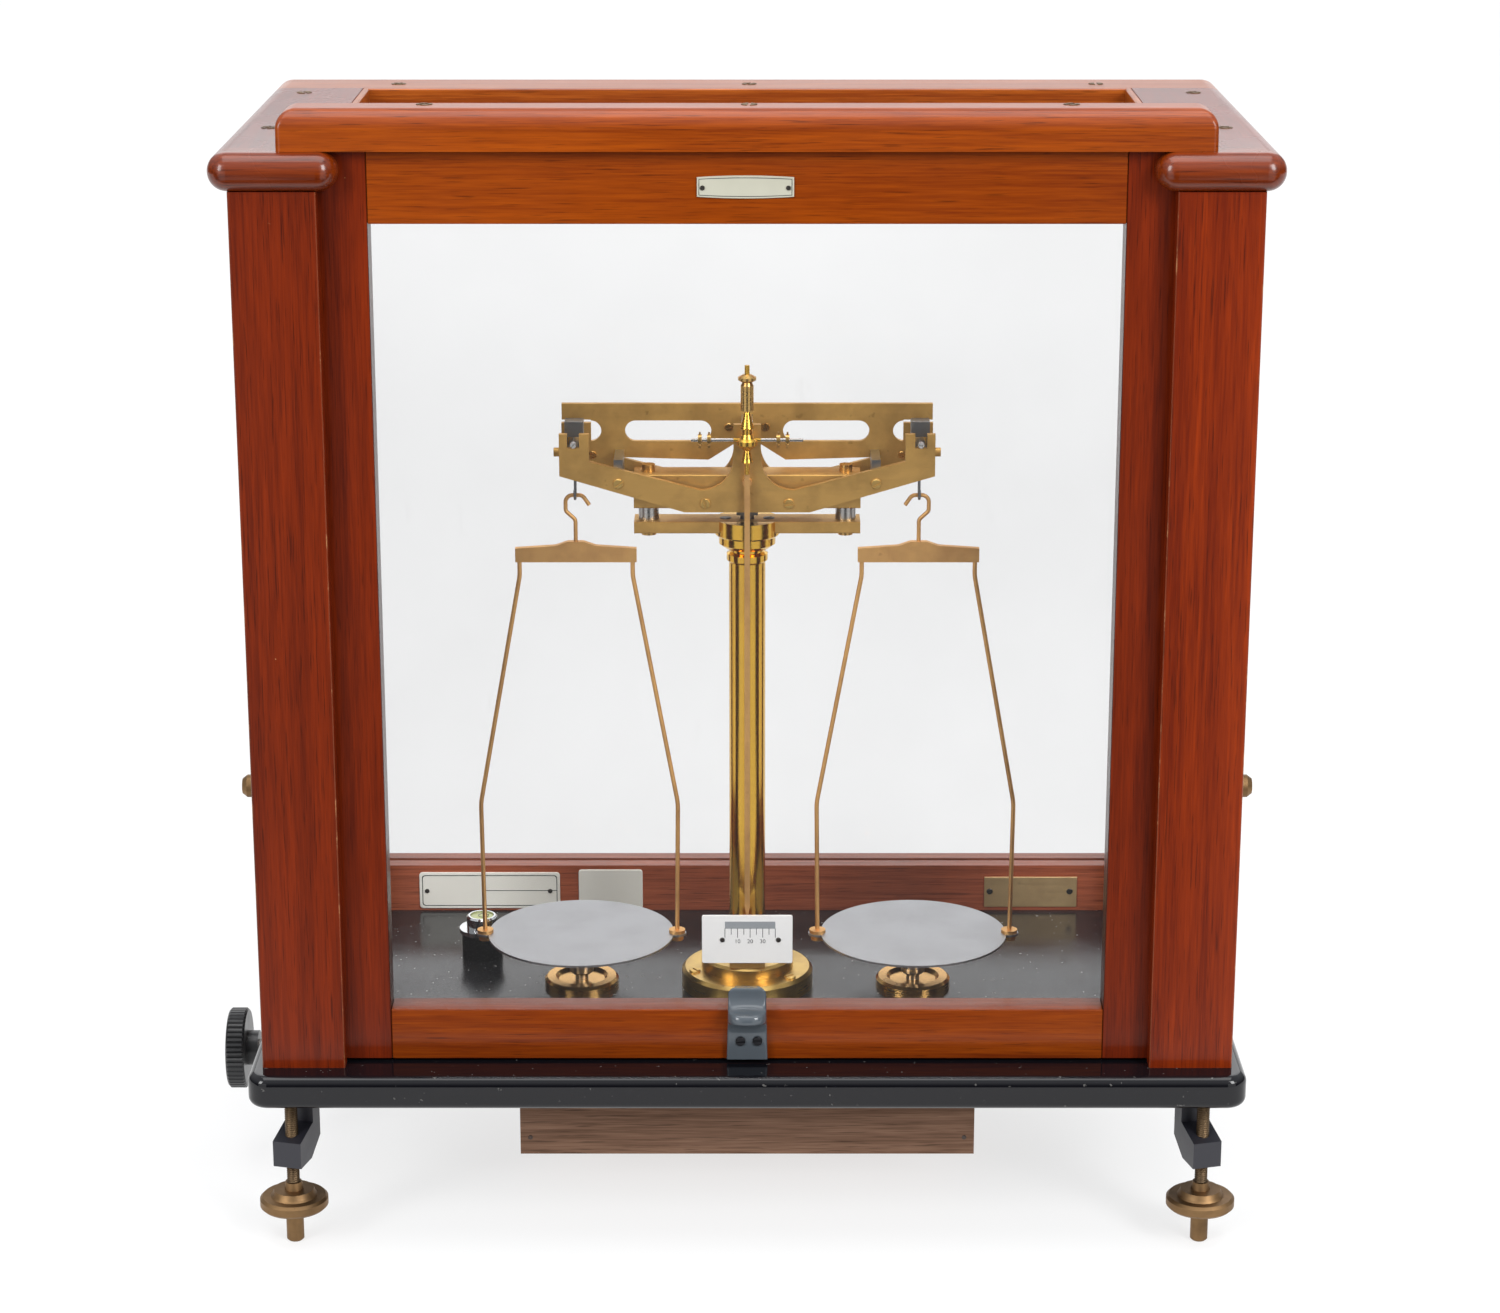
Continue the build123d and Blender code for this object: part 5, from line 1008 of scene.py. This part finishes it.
# %% Bead
BEAD_W, BEAD_LOW, BEAD_EASE = 3.0, 475.25, 0.5
BEAD_HALF, BEAD_FRONT, BEAD_BACK = 175.4, -65.2, 92.0
outer = rectangle(2 * BEAD_HALF, BEAD_BACK - BEAD_FRONT)
middle = (0.0, (BEAD_FRONT + BEAD_BACK) / 2)
rings = [
    (0.0, BEAD_LOW), (0.0, TOP_Z - BEAD_EASE), (BEAD_EASE, TOP_Z),
    (BEAD_W - BEAD_EASE, TOP_Z), (BEAD_W, TOP_Z - BEAD_EASE), (BEAD_W, BEAD_LOW),
]
rows = [np.column_stack([shrink(outer, inset) + middle, np.full(4, level)]) for inset, level in rings]
faces = (grid_faces(7, 4, True) % 24).tolist()
finish_piece("top_bead", np.concatenate(rows), faces, "case", wood_finishes["top_cross_rails"], "case_wood")
print("all fittings:", len(made))

# %% [markdown]
# ## Camera, floor and light
#
# The camera was worked out from the photograph: lens 86 mm, 16.4 degrees down. Glossy wood that faces the
# camera mirrors what lies low in front of it. So the pale floor starts just before the feet, and the room in
# front of it is dark, as in a studio: that keeps the wood deep in colour and gives the brass its dark bands.
# The column mirrors what stands low at both sides, so two low panels there draw its two bright stripes. The
# top faces mirror the far wall, where a bright panel stands above the camera's view.

# %% Camera and room
CAMERA_DOWN = 0.28622
scene = bpy.context.scene
scene.view_settings.view_transform = "Standard"
eye = bpy.data.cameras.new("camera")
eye.lens, eye.sensor_width = 86.138, 36.0
eye.clip_end = 20.0
camera = bpy.data.objects.new("camera", eye)
scene.collection.objects.link(camera)
camera.location = (0.01025, -1.55303, 0.69658)
camera.rotation_euler = (math.pi / 2 - CAMERA_DOWN, 0.0, 0.0)
scene.camera = camera


def room():
    """A world that is dark below the horizon and grows brighter towards the ceiling."""
    sky = Finish("studio", "World")
    up = sky.add("SeparateXYZ", sockets={0: sky.add("TexCoord", output="Generated")}, output=2)
    stops = [(0.0, (0.015, 0.015, 0.018)), (0.65, (0.80, 0.82, 0.85))]
    return sky.surface({"Color": sky.add("ValToRGB", {"stops": stops}, {0: up})}, "Background")


scene.world = room()
FLOOR_FRONT, WALL_Y, TURN_R, FLOOR_HALF = -0.34, 2.2, 0.8, 3.0


def backdrop():
    """Floor that turns up behind the object: a flat run, then a quarter turn (R sin b, R - R cos b)."""
    turn = np.linspace(0, math.pi / 2, 13)
    y = np.concatenate([[FLOOR_FRONT], WALL_Y + TURN_R * np.sin(turn)])
    z = np.concatenate([[0.0], TURN_R - TURN_R * np.cos(turn)])
    x = np.broadcast_to([-FLOOR_HALF, FLOOR_HALF], (len(y), 2))
    points = np.stack([x, np.repeat(y[:, None], 2, 1), np.repeat(z[:, None], 2, 1)], -1)
    mesh = bpy.data.meshes.new("backdrop")
    mesh.from_pydata(points.reshape(-1, 3).tolist(), [], grid_faces(len(y), 2, False).tolist())
    mesh.shade_smooth()
    white, grey = (1.0, 1.0, 1.0, 1.0), (0.25, 0.25, 0.25, 1.0)
    glow = {"Base Color": grey, "Roughness": 0.9, "Emission Color": white, "Emission Strength": 0.70}
    mesh.materials.append(Finish("backdrop_paper").surface(glow))
    floor = bpy.data.objects.new("backdrop", mesh)
    scene.collection.objects.link(floor)


backdrop()


def soft_light(name, where, aim, width, height, radiance):
    """An area light at one place that looks at another. Its power is pi * area * radiance."""
    lamp = bpy.data.lights.new(name, "AREA")
    lamp.shape, lamp.size, lamp.size_y = "RECTANGLE", width, height
    lamp.energy = math.pi * width * height * radiance
    holder = bpy.data.objects.new(name, lamp)
    holder.location = where
    back = np.array(where) - np.array(aim)
    across = math.atan2(back[0], -back[1])
    down = math.atan2(math.hypot(back[0], back[1]), back[2])
    holder.rotation_euler = (down, 0.0, across)
    scene.collection.objects.link(holder)


soft_light("overhead", (0.0, -0.2, 2.4), (0.0, 0.0, 0.3), 2.0, 1.6, 2.8)
soft_light("key_right", (1.7, -2.0, 1.7), (0.0, 0.0, 0.3), 0.9, 1.5, 14.5)
soft_light("fill_left", (-1.9, -1.9, 1.5), (0.0, 0.0, 0.3), 0.8, 1.4, 11.5)
soft_light("low_right", (0.85, -1.25, 0.0), (0.0, 0.0, 0.25), 1.0, 1.3, 0.95)
soft_light("low_left", (-0.85, -1.25, 0.0), (0.0, 0.0, 0.25), 1.0, 1.3, 0.95)
soft_light("far_panel", (0.0, 2.9, 1.75), (0.0, 0.0, 0.45), 3.0, 1.7, 1.3)
print("stage ready")
